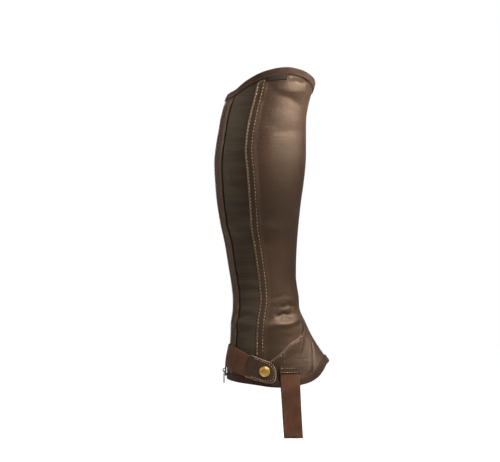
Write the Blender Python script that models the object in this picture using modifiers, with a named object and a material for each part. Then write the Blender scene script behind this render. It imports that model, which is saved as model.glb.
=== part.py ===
"""A half chap for the right leg: a leather gaiter with an elastic panel, worn from below the knee to the boot.

The frame has +Z up the leg, +X to the toe and -Y to the outer side. Its origin is the middle of the widest ring of
the calf. Sizes are in millimetres and are turned to metres where a mesh is filled.

Every piece is cloth that lies on one shape: the leg that the chap is cut for. on_leg() gives a point of it from an
angle round the leg (0 at the shin, 90 on the outer side, 180 at the back, -90 on the inner side) and a height. A piece
is a flat grid laid on that shape between its edges, with Solidify for its wall, so the walls stand side by side.
"""

import math

import bmesh
import bpy
import numpy as np
from mathutils import Matrix, Vector

MM = 0.001

# Walls of the cloth, and what lies on it.
LEATHER = 1.3
ELASTIC = 1.1
WEBBING = 1.3
TAPE = 1.0
FOLD_RISE = 1.1  # the main panel's edge is folded under, so it is this much thicker
FOLD_WIDTH = 8.0
SEAM = 0.5  # between the edges of two pieces

CLEAR = 0.3  # between pieces that lie on each other

# The zip, down the back. It opens upwards, so its slider is at the foot and the box at its top holds both sides.
CHAIN_HALF = 2.0
CHAIN_RISE, CHAIN_WALL = 0.6, 1.8
TAPE_SINK = 0.4
ZIP_HALF = 6.8  # from the middle of the chain to the leather's edge
ZIP_TOP, ZIP_FOOT = 92.0, -289.0
BOX_SIZE = (7.0, 6.5, 2.4)  # across, up and out
BOX_LEVEL = 88.6

# The slider: sizes are through the zip, across it and up. Its neck stands at its upper end.
SLIDER_LEVEL = -280.5
SLIDER_RISE = 2.9
SLIDER_PLATE = (1.8, 9.0, 12.5)
SLIDER_NECK = (7.4, 3.2, 3.0)
SLIDER_INNER = (1.4, 8.0, 11.0)
NECK_DROP = 4.0
BAIL_RADIUS, BAIL_BAR, BAIL_UP = 2.6, 1.2, 1.5
PIVOT_OUT, PIVOT_DOWN = 0.9, 0.7  # the pull's eye in the bail, from the plate and from the bail's middle
PULL_LENGTH, PULL_WIDTH, PULL_PLATE = 16.5, 5.0, 1.0
PULL_SHOULDER, PULL_END = 5.2, 1.9
EYE_HALF, EYE_TOP, EYE_FOOT = 1.05, -0.5, -3.6

# The bindings and the label under the top one.
BINDING_WIDTH = 8.0
LABEL_TOP, LABEL_FOOT = BINDING_WIDTH + 1.4, BINDING_WIDTH + 7.6

# The ankle strap, its tab and the snap.
STRAP_WIDTH = 28.5
STRAP_OUT, STRAP_SINK = 3.2, 1.4  # the strap lies this much nearer the leg on its inner side
STRAP_ENDS = (120.0, 248.5)
TAB_REAR, TAB_FRONT = 127.0, 60.0
TAB_LENGTH, TAB_ROUND = 40.0, 16.0
TAB_OUT, TAB_WALL = 5.6, 1.8
SNAP_RADIUS, SOCKET_RADIUS = 7.3, 4.6
SNAP_FROM_END = 16.5
CAP_PROFILE = ((0, 2.4), (3.0, 2.3), (5.6, 1.7), (SNAP_RADIUS, 0.7), (SNAP_RADIUS, 0), (0, 0))  # radius, height

# The stirrup strap: how far forward its middle is at its heads and under the sole, and its levels.
STIRRUP_WIDTH = 26.0
STIRRUP_HEAD_AT, STIRRUP_SOLE_AT = 39.2, 45.5
STIRRUP_HEAD, STIRRUP_LEAVES, STIRRUP_BEND = -273.5, -305.0, -340.0
STIRRUP_OUT, STIRRUP_CORNER = 3.2, 7.0
SOLE_LEVEL = -371.0
SOLE_HALF = 33.0
END_CAP = (10.0, 1.0, 0.8)  # the tape over each head: its depth, and how far it passes the sides and the head

# Level sections of the leg in its boot: the back and the front seen from the side, half the width, and how much
# wider the section is behind its middle than before it.
LEG = (
    # height, back, front, half_width, egg
    (138.0, -30.0, 78.5, 51.0, 0.05),
    (113.0, -36.7, 74.8, 50.5, 0.06),
    (97.0, -42.2, 70.0, 50.0, 0.08),
    (80.0, -48.8, 65.6, 50.0, 0.10),
    (64.0, -53.0, 63.0, 50.5, 0.12),
    (48.0, -55.8, 62.6, 51.0, 0.13),
    (31.0, -58.8, 62.6, 51.5, 0.14),
    (7.0, -61.6, 62.4, 52.0, 0.15),
    (-26.0, -60.4, 59.2, 51.0, 0.15),
    (-50.0, -58.3, 55.8, 49.0, 0.14),
    (-75.0, -54.4, 53.0, 46.0, 0.13),
    (-107.0, -47.6, 50.3, 42.0, 0.11),
    (-140.0, -42.2, 49.0, 38.5, 0.09),
    (-165.0, -38.2, 49.6, 36.5, 0.07),
    (-181.0, -36.7, 52.6, 36.0, 0.06),
    (-197.0, -36.9, 54.2, 36.5, 0.06),
    (-213.0, -39.2, 61.5, 37.5, 0.07),
    (-230.0, -39.8, 69.4, 38.5, 0.08),
    (-246.0, -40.9, 79.0, 39.0, 0.10),
    (-262.0, -43.4, 90.4, 39.0, 0.13),
    (-279.0, -44.9, 103.4, 39.0, 0.16),
    (-306.0, -43.5, 124.0, 39.0, 0.20),
)

# Folds worn into the cloth: a trough between two places on the leg, or a ridge where the depth is negative.
FOLDS = (
    # angle_1, height_1, angle_2, height_2, half_height, depth
    (175.0, 33.0, 96.0, 32.0, 5.0, 0.9),
    (178.0, -80.0, 20.0, -92.0, 9.0, -1.3),
    (176.0, -100.0, 60.0, -108.0, 8.0, 0.9),
    (178.0, -150.0, 40.0, -158.0, 5.0, 1.0),
    (176.0, -168.0, 50.0, -170.0, 5.0, 1.1),
    (120.0, -192.0, 12.0, -189.0, 5.0, 1.8),
    (92.0, -204.0, 34.0, -204.0, 4.5, 2.6),
    (104.0, -215.0, 26.0, -214.0, 6.0, -2.2),
    (176.0, -202.0, 104.0, -206.0, 5.0, 1.6),
    (176.0, -213.0, 104.0, -217.0, 5.0, -1.2),
    (-176.0, -190.0, -30.0, -206.0, 6.0, -2.0),
    (-178.0, -199.0, -24.0, -217.0, 5.0, 3.2),
    (-170.0, -212.0, -30.0, -229.0, 6.0, -1.6),
    (-150.0, -150.0, -20.0, -168.0, 7.0, 1.2),
    (-160.0, 60.0, -60.0, 38.0, 10.0, 1.0),
)

# Edges seen from the side, as how far forward they are at a height.
ELASTIC_FRONT = (
    # height, forward
    (126.0, -0.5),
    (113.0, -2.7),
    (95.0, -6.8),
    (68.0, -13.6),
    (38.0, -19.0),
    (20.0, -20.4),
    (-7.0, -18.0),
    (-48.0, -15.0),
    (-88.0, -12.0),
    (-122.0, -6.8),
    (-163.0, -1.6),
    (-184.0, -0.2),
    (-211.0, -3.8),
    (-252.0, -5.4),
    (-302.0, -4.4),
)
OUTER_SEAM = (  # from the point on the shin back to the elastic, under the snap tab
    # angle, height
    (0.0, -170.0),
    (8.5, -184.5),
    (13.0, -197.5),
    (22.0, -210.0),
    (36.0, -226.0),
    (51.5, -235.0),
    (67.0, -242.0),
    (82.0, -253.4),
    (117.5, -279.8),
    (140.0, -297.0),
)
INNER_SEAM = (  # the same on the inner side, then down to the hem behind the ankle strap's end
    # angle, height
    (0.0, -170.0),
    (8.5, -184.5),
    (13.0, -197.5),
    (22.0, -210.0),
    (36.0, -224.0),
    (51.5, -232.0),
    (67.0, -238.0),
    (85.0, -244.0),
    (98.0, -248.0),
    (111.0, -251.0),
    (119.0, -259.0),
    (131.0, -277.0),
    (140.0, -297.0),
)
TONGUE_SIDE = (
    # height, angle
    (-170.0, 7.5),
    (-184.5, 8.5),
    (-197.0, 9.5),
    (-207.0, 10.5),
    (-217.0, 13.0),
    (-231.0, 20.0),
    (-245.0, 30.0),
    (-261.0, 43.0),
    (-275.0, 52.0),
    (-297.0, 61.0),
)
HEM = (
    # height, forward
    (-289.5, -43.9),
    (-294.0, -27.2),
    (-297.0, -5.4),
    (-300.0, 16.3),
    (-300.0, 38.1),
    (-297.0, 54.4),
    (-293.0, 68.0),
    (-287.0, 77.5),
    (-279.0, 84.3),
    (-271.5, 88.4),
)
HEM_FRONT = -264.5
TOP = (  # the top edge is arched on the outer side and nearly level on the inner side
    # angle, height
    (190.0, 95.5),
    (172.0, 96.5),
    (148.0, 101.0),
    (133.0, 111.5),
    (119.0, 119.5),
    (97.0, 127.5),
    (74.0, 130.3),
    (55.0, 127.5),
    (26.0, 118.5),
    (0.0, 108.5),
    (-20.0, 101.0),
    (-40.0, 94.5),
    (-62.0, 90.5),
    (-90.0, 90.0),
    (-120.0, 92.5),
    (-150.0, 95.0),
    (-190.0, 95.5),
)
STRAP_LINE = (  # the middle of the ankle strap, from the outer side round the back to the inner side
    # angle, height
    (60.0, -306.0),
    (98.0, -287.5),
    (109.0, -281.5),
    (126.0, -274.0),
    (150.0, -264.0),
    (180.0, -259.5),
    (210.0, -260.5),
    (249.0, -264.0),
    (270.0, -267.0),
)
BACK_EDGES = (  # along the leg's surface from its back line, towards the outer side
    # height, zip_middle, strip_front
    (140.0, 8.0, 33.0),
    (95.0, 8.0, 33.0),
    (0.0, 9.0, 35.0),
    (-100.0, 5.0, 30.0),
    (-180.0, 1.0, 25.5),
    (-240.0, 0.0, 24.0),
    (-310.0, 0.0, 24.0),
)

# Rows of cloth down the whole leg: few on the calf and many at the ankle, where the folds are.
LONG_ROWS = 36
ROW_MARKS = (
    # share_of_rows, share_of_height
    (0.0, 0.0),
    (0.28, 0.45),
    (0.48, 0.64),
    (0.85, 0.86),
    (1.0, 1.0),
)


def smooth(table, at, column=1):
    """A smooth curve through one column of a table, read at heights or angles (its first column)."""
    rows = np.array(sorted(table), float)
    known, values = rows[:, 0], rows[:, column]
    slopes = np.gradient(values, known)
    at = np.clip(np.asarray(at, float), known[0], known[-1])
    i = np.clip(np.searchsorted(known, at) - 1, 0, len(known) - 2)
    step = known[i + 1] - known[i]
    t = (at - known[i]) / step
    rise = values[i + 1] - values[i]
    inner = t * (1 - t)
    start, end = slopes[i] * step - rise, rise - slopes[i + 1] * step
    return values[i] + rise * t + inner * (start * (1 - t) + end * t)


def section(height):
    """The middle, the half depth, the half width and the egg of the leg's section at a height."""
    back, front, half_width, egg = (smooth(LEG, height, column) for column in (1, 2, 3, 4))
    return (back + front) / 2, (front - back) / 2, half_width, egg


def folded(angle, height):
    """How far the folds push the cloth out at a place on the leg."""
    push = np.zeros(np.broadcast(angle, height).shape)
    turn = (np.asarray(angle, float) + 180) % 360 - 180
    for angle_1, height_1, angle_2, height_2, half_height, depth in FOLDS:
        along = np.clip((turn - angle_1) / (angle_2 - angle_1), 0, 1)
        middle = height_1 + along * (height_2 - height_1)
        fade = np.sin(math.pi * along) ** 0.8
        push -= depth * fade * np.exp(-(((height - middle) / half_height) ** 2))
    return push


def skin(angle, height):
    """The leg's outer surface, with the folds, as points in millimetres."""
    middle, reach, half_width, egg = section(height)
    a = np.radians(angle)
    out = folded(angle, height)
    x = middle + (reach + out) * np.cos(a)
    y = -(half_width + out) * np.sin(a) * (1 - egg * np.cos(a))
    return np.stack([x, y, height + 0 * x], axis=-1)


def slopes_on_leg(angle, height):
    """How the surface runs with the angle and with the height."""
    d = 0.5
    round_it = (skin(angle + d, height) - skin(angle - d, height)) / (2 * d)
    up_it = (skin(angle, height + d) - skin(angle, height - d)) / (2 * d)
    return round_it, up_it


def outward(angle, height):
    """The surface's unit normal, away from the leg."""
    round_it, up_it = slopes_on_leg(angle, height)
    n = np.cross(up_it, round_it)
    return n / np.linalg.norm(n, axis=-1, keepdims=True)


def on_leg(angle, height, out=0.0):
    """Points at an angle and a height, moved out from the leg's surface."""
    angle, height = np.broadcast_arrays(np.asarray(angle, float), np.asarray(height, float))
    return skin(angle, height) + outward(angle, height) * np.asarray(out)[..., None]


def angle_seen_at(forward, height):
    """The angle of a place on the outer side that is so far forward, seen from the side."""
    middle, reach, _, _ = section(height)
    return np.degrees(np.arccos(np.clip((forward - middle) / reach, -1, 1)))


def angle_from_back(along, height):
    """The angle of a place so far along the surface from the back line, positive on the outer side."""
    height = np.asarray(height, float)
    middle, reach, half_width, egg = section(height)
    turns = np.radians(np.linspace(0, 90, 91))
    x = -reach[..., None] * np.cos(turns)
    y = half_width[..., None] * np.sin(turns) * (1 + egg[..., None] * np.cos(turns))
    steps = np.hypot(np.diff(x), np.diff(y))
    run = np.concatenate([np.zeros(steps.shape[:-1] + (1,)), np.cumsum(steps, axis=-1)], axis=-1)
    along = np.broadcast_to(along, height.shape)
    flat = zip(np.abs(along).ravel(), run.reshape(-1, run.shape[-1]))
    turned = np.array([np.interp(a, r, turns) for a, r in flat]).reshape(height.shape)
    return 180 - np.sign(along) * np.degrees(turned)


def elastic_front(height):
    return angle_seen_at(smooth(ELASTIC_FRONT, height), height)


def beside(edge, across):
    """An edge moved along the surface towards the front by so many millimetres."""

    def moved(height):
        angle = edge(height)
        round_it, _ = slopes_on_leg(angle, height)
        return angle - across / np.linalg.norm(round_it, axis=-1)

    return moved


def from_zip(across):
    """A line beside the middle of the zip, positive on the outer side."""
    return lambda height: angle_from_back(smooth(BACK_EDGES, height, 1) + across, height)


def strip_front(height):
    return angle_from_back(smooth(BACK_EDGES, height, 2), height)


def shin(height):
    return np.zeros(np.shape(height))


def tongue_edge(height):
    return smooth(TONGUE_SIDE, height)


def level_angle(angle):
    return lambda height: np.full(np.shape(height), float(angle))


def mirrored(edge):
    return lambda height: -edge(height)


def round_the_front(edge):
    """The same line, with its angle counted the other way round, past the shin."""
    return lambda height: edge(height) - 360


def edge_over_angles(table, front_height):
    """Turns an edge seen from the side into heights by angle, from the shin to the back."""
    heights, forwards = np.array(table, float).T
    rows = list(zip(angle_seen_at(forwards, heights), heights))
    return [(0.0, front_height)] + sorted(rows)


HEM_BY_ANGLE = edge_over_angles(HEM, HEM_FRONT)


def hem(angle):
    return smooth(HEM_BY_ANGLE, np.abs((np.asarray(angle) + 180) % 360 - 180))


def top(angle):
    return smooth(TOP, angle)


def instep_seam(angle):
    """The edge between the leg's leather and the pieces over the instep, down to the hem at its ends."""
    angle = np.asarray(angle, float)
    outer, inner = (np.interp(np.abs(angle), *np.array(table).T) for table in (OUTER_SEAM, INNER_SEAM))
    return np.maximum(np.where(angle > 0, outer, inner), hem(angle))


def columns_between(angles):
    """How many columns to put between each two lines, so that none is much wider than 9 degrees."""
    return [max(1, round(abs(b - a) / 9)) for a, b in zip(angles, angles[1:])]


def fanned(seam, rear):
    """Lines down a gusset from each row of its seam, spread between its rear edge and the tongue, and their counts."""

    def line(share):
        return lambda height: rear(height) + share * (tongue_edge(height) - rear(height))

    rows = [(angle, height) for angle, height in seam if 8.5 < angle < float(rear(np.array(height))) - 3]
    heights = np.array([height for _, height in rows])
    angles = np.array([angle for angle, _ in rows])
    shares = (rear(heights) - angles) / (rear(heights) - tongue_edge(heights))
    counts = columns_between([float(rear(heights[-1:])[0]), *sorted(angles, reverse=True), 8.5])
    return [rear] + [line(share) for share in sorted(shares)] + [tongue_edge], counts


def below(edge, gap):
    return lambda angle: edge(angle) - gap


def above(edge, gap):
    return lambda angle: edge(angle) + gap


def material(name, hex_colour, roughness, metallic=0.0):
    made = bpy.data.materials.new(name)
    made.use_nodes = True
    surface = made.node_tree.nodes["Principled BSDF"]
    parts = [int(hex_colour[i : i + 2], 16) / 255 for i in (1, 3, 5)]
    linear = [c / 12.92 if c <= 0.04045 else ((c + 0.055) / 1.055) ** 2.4 for c in parts]
    surface.inputs["Base Color"].default_value = (*linear, 1.0)
    surface.inputs["Roughness"].default_value = roughness
    surface.inputs["Metallic"].default_value = metallic
    return made


def new_object(name, mesh, look):
    made = bpy.data.objects.new(name, mesh)
    made.data.materials.append(look)
    chap.objects.link(made)
    return made


def wall(made, thickness, even=False, group=""):
    """Gives an open surface its wall, towards the leg."""
    made.modifiers.new("Wall", "SOLIDIFY")
    solidify = made.modifiers["Wall"]
    solidify.thickness = thickness * MM
    solidify.offset = -1.0
    solidify.use_even_offset = even
    solidify.vertex_group = group


def grid(name, columns, rows, shape, look):
    """An open sheet: a flat grid whose points shape() places, from across (0 to 1) and down (0 to 1)."""
    bm = bmesh.new()
    bmesh.ops.create_grid(bm, x_segments=columns, y_segments=rows, size=1.0)
    flat = np.array([v.co for v in bm.verts])
    across, down = (flat[:, 0] + 1) / 2, (1 - flat[:, 1]) / 2
    for vertex, point in zip(bm.verts, shape(across, down)):
        vertex.co = point * MM
    mesh = bpy.data.meshes.new(name)
    bm.to_mesh(mesh)
    bm.free()
    mesh.shade_smooth()
    return new_object(name, mesh, look)


def between(across, guides, counts):
    """Reads a place across a piece as a number of columns into its guides: which guide, and how far on."""
    marks = np.concatenate([[0], np.cumsum(counts)]) / sum(counts)
    i = np.clip(np.searchsorted(marks, across, side="right") - 1, 0, len(guides) - 2)
    return i, (across - marks[i]) / (marks[i + 1] - marks[i])


def panel(name, guides, counts, top_edge, bottom_edge, rows, thickness, look, out=0.0, rises=None):
    """A piece of cloth on the leg, between its first and last guide and its top and bottom edge.

    Each guide gives the angle of a line down the leg, and counts has the columns between each two. rises lifts the
    outer face at each guide, and the wall is thicker there by as much.
    """
    rises = np.array(rises or [0.0] * len(guides))

    def angle_at(across, height):
        i, part = between(across, guides, counts)
        angles = np.array([guide(height) for guide in guides])
        pick = np.arange(len(height))
        return angles[i, pick] * (1 - part) + angles[i + 1, pick] * part

    def end_height(across, edge):
        height = np.full(len(across), float(np.mean(edge(np.zeros(1)))))
        for _ in range(40):
            height = (height + edge(angle_at(across, height))) / 2
        return height

    def lift(across, down):
        i, part = between(across, guides, counts)
        ends = np.clip(np.minimum(down, 1 - down) * rows - 1, 0, 1)
        return (rises[i] * (1 - part) + rises[i + 1] * part) * ends

    def shape(across, down):
        high, low = end_height(across, top_edge), end_height(across, bottom_edge)
        share = np.interp(down, *np.array(ROW_MARKS).T) if rows == LONG_ROWS else down
        height = high + (low - high) * share
        return on_leg(angle_at(across, height), height, out + lift(across, down))

    made = grid(name, sum(counts), rows, shape, look)
    thickest = thickness + rises.max()
    group = ""
    if rises.any():
        group = "wall"
        flat = np.array(np.meshgrid(np.arange(sum(counts) + 1), np.arange(rows + 1))).reshape(2, -1).T
        weights = made.vertex_groups.new(name=group)
        for index, (column, row) in enumerate(flat):
            here = lift(np.array([column / sum(counts)]), np.array([1 - row / rows]))[0]
            weights.add([index], (thickness + here) / thickest, "REPLACE")
    wall(made, thickest, group=group)
    return made


def binding(name, edge, from_angle, to_angle, segments, away, look):
    """Tape folded over an edge of the leather: `away` is 1 where the leather lies below the edge, -1 above it."""
    outer, inner, crown = 1.5, -LEATHER - 1.7, 1.5
    profile = np.array(  # out from the leg, and down from the edge
        [
            (outer, BINDING_WIDTH),
            (outer, BINDING_WIDTH / 2),
            (outer, 0.0),
            (outer - 0.9, -crown),
            (inner + 0.9, -crown),
            (inner, 0.0),
            (inner, BINDING_WIDTH),
        ]
    )

    def shape(across, down):
        angle = from_angle + (to_angle - from_angle) * across
        height = edge(angle)
        d = 0.5
        run = (on_leg(angle - d, edge(angle - d)) - on_leg(angle + d, edge(angle + d))) / (2 * d)
        normal = outward(angle, height)
        in_surface = np.cross(run, normal)
        in_surface /= np.linalg.norm(in_surface, axis=-1, keepdims=True)
        round_it, up_it = slopes_on_leg(angle, height)
        plane = np.stack([round_it, up_it], axis=-1)
        turn, rise = np.array([np.linalg.lstsq(p, v, rcond=None)[0] for p, v in zip(plane, in_surface)]).T
        place = (down if away < 0 else 1 - down) * (len(profile) - 1)
        out, depth = (np.interp(place, np.arange(len(profile)), profile[:, k]) for k in (0, 1))
        step = depth * away
        return on_leg(angle + turn * step, height + rise * step, out)

    made = grid(name, segments, len(profile) - 1, shape, look)
    wall(made, TAPE, even=True)
    return made


def strap_line(angle):
    return smooth(STRAP_LINE, angle)


def strap_place(angle, over):
    """The angle and height of a place on the ankle strap, `over` its middle line, square to that line."""
    height = strap_line(angle)
    round_it, _ = slopes_on_leg(angle, height)
    reach = np.linalg.norm(round_it, axis=-1)
    climb = (strap_line(angle + 1) - strap_line(angle - 1)) / 2 / reach
    lean = np.arctan(climb)
    return angle - over * np.sin(lean) / reach, height + over * np.cos(lean)


def ankle_strap(look):
    """Elastic round the back of the ankle, from its seam on the inner side to under the snap tab."""
    first, last = STRAP_ENDS

    def shape(across, down):
        angle = last + (first - last) * across
        place = strap_place(angle, STRAP_WIDTH * (0.5 - down))
        inner_side = np.clip((angle - 190) / 40, 0, 1)
        return on_leg(*place, STRAP_OUT - STRAP_SINK * inner_side)

    wall(grid("ankle_strap", 22, 3, shape, look), WEBBING)


def tab_place(along, over):
    """A place on the snap tab's middle line, `along` from its rear edge and `over` that line, as angle and height."""
    angles = np.linspace(TAB_REAR, TAB_FRONT, 136)
    line = on_leg(angles, strap_line(angles))
    run = np.concatenate([[0], np.cumsum(np.linalg.norm(np.diff(line, axis=0), axis=1))])
    return strap_place(np.interp(along, run, angles), over)


def snap_tab(look):
    """The leather tab that carries the snap's cap, with a round front end."""

    def shape(across, down):
        over = 1 - 2 * down
        end = TAB_LENGTH - TAB_ROUND + TAB_ROUND * (1 - np.abs(over) ** 2.4) ** (1 / 2.4)
        place = tab_place(across * end, over * STRAP_WIDTH / 2)
        return on_leg(*place, TAB_OUT)

    wall(grid("snap_tab", 10, 10, shape, look), TAB_WALL)


def turned(name, profile, look, steps=24):
    """A turned piece: a profile of radius and height, outer side first from the top, spun round Z."""
    mesh = bpy.data.meshes.new(name)
    points = [(radius * MM, 0.0, level * MM) for radius, level in profile]
    mesh.from_pydata(points, [(i, i + 1) for i in range(len(points) - 1)], [])
    made = new_object(name, mesh, look)
    screw = made.modifiers.new("Turn", "SCREW")
    screw.steps = screw.render_steps = steps
    screw.use_merge_vertices = True
    screw.merge_threshold = 0.00001
    return made


def set_on_leg(made, angle, height, out):
    """Stands a piece on the leg's surface, with its Z axis pointing away."""
    angle, height = np.array([float(angle)]), np.array([float(height)])
    normal = Vector(outward(angle, height)[0])
    made.matrix_world = Matrix.Translation(Vector(on_leg(angle, height, out)[0]) * MM) @ (
        normal.to_track_quat("Z", "Y").to_matrix().to_4x4()
    )


def snap(look_cap, look_socket):
    """A press stud: its cap on the tab, and the socket under it, down to the gusset."""
    angle, height = (float(v[0]) for v in tab_place(np.array([TAB_LENGTH - SNAP_FROM_END]), np.array([0.0])))
    set_on_leg(turned("snap_cap", CAP_PROFILE, look_cap), angle, height, TAB_OUT + CLEAR)
    under = TAB_OUT - TAB_WALL - CLEAR
    foot = 0.5 - under
    socket = turned("snap_socket", [(0, 0), (SOCKET_RADIUS, 0), (SOCKET_RADIUS, foot), (0, foot)], look_socket, 16)
    set_on_leg(socket, angle, height, under)


def stirrup(look, look_tape):
    """Elastic under the boot: down from the outer gusset, under the sole and up to the inner one."""
    corner = [
        (SOLE_HALF - STIRRUP_CORNER * (1 - math.sin(t)), SOLE_LEVEL + STIRRUP_CORNER * (1 - math.cos(t)))
        for t in np.radians([0, 30, 60, 90])
    ]
    free = [(0.0, SOLE_LEVEL), *corner, (SOLE_HALF + 2.2, STIRRUP_BEND)]  # sideways and height, up from the sole
    levels = np.array([level for _, level in free] + list(np.linspace(STIRRUP_LEAVES, STIRRUP_HEAD, 6)))
    half = len(levels) - 1

    def middle(level):
        part = np.clip((level - STIRRUP_HEAD) / (SOLE_LEVEL - STIRRUP_HEAD), 0, 1)
        return STIRRUP_HEAD_AT + (STIRRUP_SOLE_AT - STIRRUP_HEAD_AT) * part

    def shape(across, down):
        """Down runs from the outer side's head, under the sole, to the inner side's head."""
        place = np.abs(down * 2 - 1) * half
        side = np.where(down < 0.5, -1.0, 1.0)
        level = np.interp(place, np.arange(half + 1), levels)
        forward = middle(level) + STIRRUP_WIDTH * (across - 0.5)
        width = np.interp(place, np.arange(len(free)), [sideways for sideways, _ in free])
        sewn = np.clip(place - (len(free) - 1), 0, 1)
        over_hem = np.maximum(level, STIRRUP_LEAVES)
        on_gusset = on_leg(angle_seen_at(forward, over_hem), over_hem, STIRRUP_OUT)
        y = -on_gusset[:, 1] * sewn + (1 - sewn) * width
        x = np.where(sewn > 0, on_gusset[:, 0], forward)
        return np.stack([x, y * side, level], axis=-1)

    wall(grid("stirrup_strap", 4, 2 * half, shape, look), WEBBING, even=True)

    depth, past_sides, past_head = END_CAP
    for name, side in (("stirrup_cap_outer", 1), ("stirrup_cap_inner", -1)):

        def cap_shape(across, down, side=side):
            level = STIRRUP_HEAD + past_head - depth * down
            forward = middle(level) + (STIRRUP_WIDTH + past_sides) * (across - 0.5) * side
            return on_leg(side * angle_seen_at(forward, level), level, STIRRUP_OUT + CLEAR + TAPE)

        wall(grid(name, 4, 2, cap_shape, look_tape), TAPE)


def bent_bar(name, radius, thickness, look):
    """Half a ring, standing on its two ends."""
    bpy.ops.mesh.primitive_torus_add(
        major_segments=16, minor_segments=8, major_radius=radius * MM, minor_radius=thickness / 2 * MM
    )
    made = bpy.context.object
    made.name = name
    made.data.transform(Matrix.Rotation(math.radians(90), 4, "X"))
    bm = bmesh.new()
    bm.from_mesh(made.data)
    everything = bm.verts[:] + bm.edges[:] + bm.faces[:]
    bmesh.ops.bisect_plane(bm, geom=everything, plane_co=(0.3 * MM, 0, 0), plane_no=(1, 0, 0), clear_outer=True)
    bmesh.ops.holes_fill(bm, edges=[e for e in bm.edges if e.is_boundary])
    bmesh.ops.recalc_face_normals(bm, faces=bm.faces[:])
    bm.to_mesh(made.data)
    bm.free()
    return made


def block(name, size, centre, look=None, bevel=0.0):
    bm = bmesh.new()
    bmesh.ops.create_cube(bm, size=1.0)
    for vertex in bm.verts:
        vertex.co = Vector([c + s * v for c, s, v in zip(centre, size, vertex.co)]) * MM
    mesh = bpy.data.meshes.new(name)
    bm.to_mesh(mesh)
    bm.free()
    made = bpy.data.objects.new(name, mesh)
    if look:
        made.data.materials.append(look)
        chap.objects.link(made)
    else:
        cutters.objects.link(made)
    if bevel:
        rounding = made.modifiers.new("Rounding", "BEVEL")
        rounding.width = bevel * MM
        rounding.segments = 2
    return made


def join(made, others):
    """Adds other solids to one, with Boolean unions, and keeps them as hidden guides."""
    for other in others:
        for group in list(other.users_collection):
            group.objects.unlink(other)
        cutters.objects.link(other)
        other.hide_render = True
        other.display_type = "WIRE"
        union = made.modifiers.new("With " + other.name, "BOOLEAN")
        union.operation = "UNION"
        union.solver = "EXACT"
        union.object = other


def slider_face():
    """Where the slider's outer plate faces back: its distance forward and to the inner side."""
    height = np.array([SLIDER_LEVEL])
    on_zip = skin(from_zip(0)(height), height)[0]
    return float(on_zip[0]) - SLIDER_RISE, float(on_zip[1])


def slider(look):
    """The zip's slider: two plates with a neck between them through the zip, and a bail on the outer plate."""
    face, side = slider_face()
    plate, inner = SLIDER_PLATE[0], SLIDER_INNER[0]
    far = face + SLIDER_NECK[0]
    made = block("zip_slider", SLIDER_PLATE, (face + plate / 2, side, SLIDER_LEVEL), look, bevel=0.6)
    neck = block("neck", SLIDER_NECK, (face + CLEAR + SLIDER_NECK[0] / 2, side, SLIDER_LEVEL - NECK_DROP))
    behind = block("inner_plate", SLIDER_INNER, (far + inner / 2 - 0.9, side, SLIDER_LEVEL))
    bail = bent_bar("bail", BAIL_RADIUS, BAIL_BAR, look)
    bail.location = (face * MM, side * MM, (SLIDER_LEVEL + BAIL_UP) * MM)
    join(made, [neck, behind, bail])


def zip_top_box(look):
    """The box over the zip's upper end."""
    across, up, out = BOX_SIZE
    made = block("zip_top_box", BOX_SIZE, (0, 0, out / 2), look, bevel=0.7)
    height = np.array([BOX_LEVEL])
    set_on_leg(made, from_zip(0)(height)[0], BOX_LEVEL, CHAIN_RISE + CLEAR - TAPE)


def pull_tab(look):
    """The slider's pull: a flat tab whose eye hangs on the bail, so it swings about a line across the leg."""
    face, side = slider_face()
    pivot = Vector((face - PIVOT_OUT, side, SLIDER_LEVEL + BAIL_UP - PIVOT_DOWN))
    curve = bpy.data.curves.new("pull_tab", "CURVE")
    curve.dimensions = "2D"
    curve.fill_mode = "BOTH"
    curve.extrude = PULL_PLATE / 2 * MM
    half, chamfer = PULL_WIDTH / 2, 0.6
    foot = [
        (PULL_END * math.sin(t), -PULL_LENGTH + PULL_END * (1 - math.cos(t))) for t in np.radians(range(-90, 91, 30))
    ]
    head = [(half, 0.0), (half - chamfer, chamfer), (chamfer - half, chamfer)]
    rim = [(-half, 0.0), (-half, -PULL_SHOULDER)] + foot + [(half, -PULL_SHOULDER)] + head
    eye = [(-EYE_HALF, EYE_TOP), (-EYE_HALF, EYE_FOOT), (EYE_HALF, EYE_FOOT), (EYE_HALF, EYE_TOP)]
    for outline in (rim, eye):
        spline = curve.splines.new("POLY")
        spline.points.add(len(outline) - 1)
        for point, (x, y) in zip(spline.points, outline):
            point.co = (x * MM, y * MM, 0, 1)
        spline.use_cyclic_u = True
    made = bpy.data.objects.new("pull_tab", curve)
    made.data.materials.append(look)
    chap.objects.link(made)
    stand = Matrix(((0, 0, 1), (1, 0, 0), (0, 1, 0))).to_4x4()
    made.matrix_world = Matrix.Translation(pivot * MM) @ stand


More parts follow.
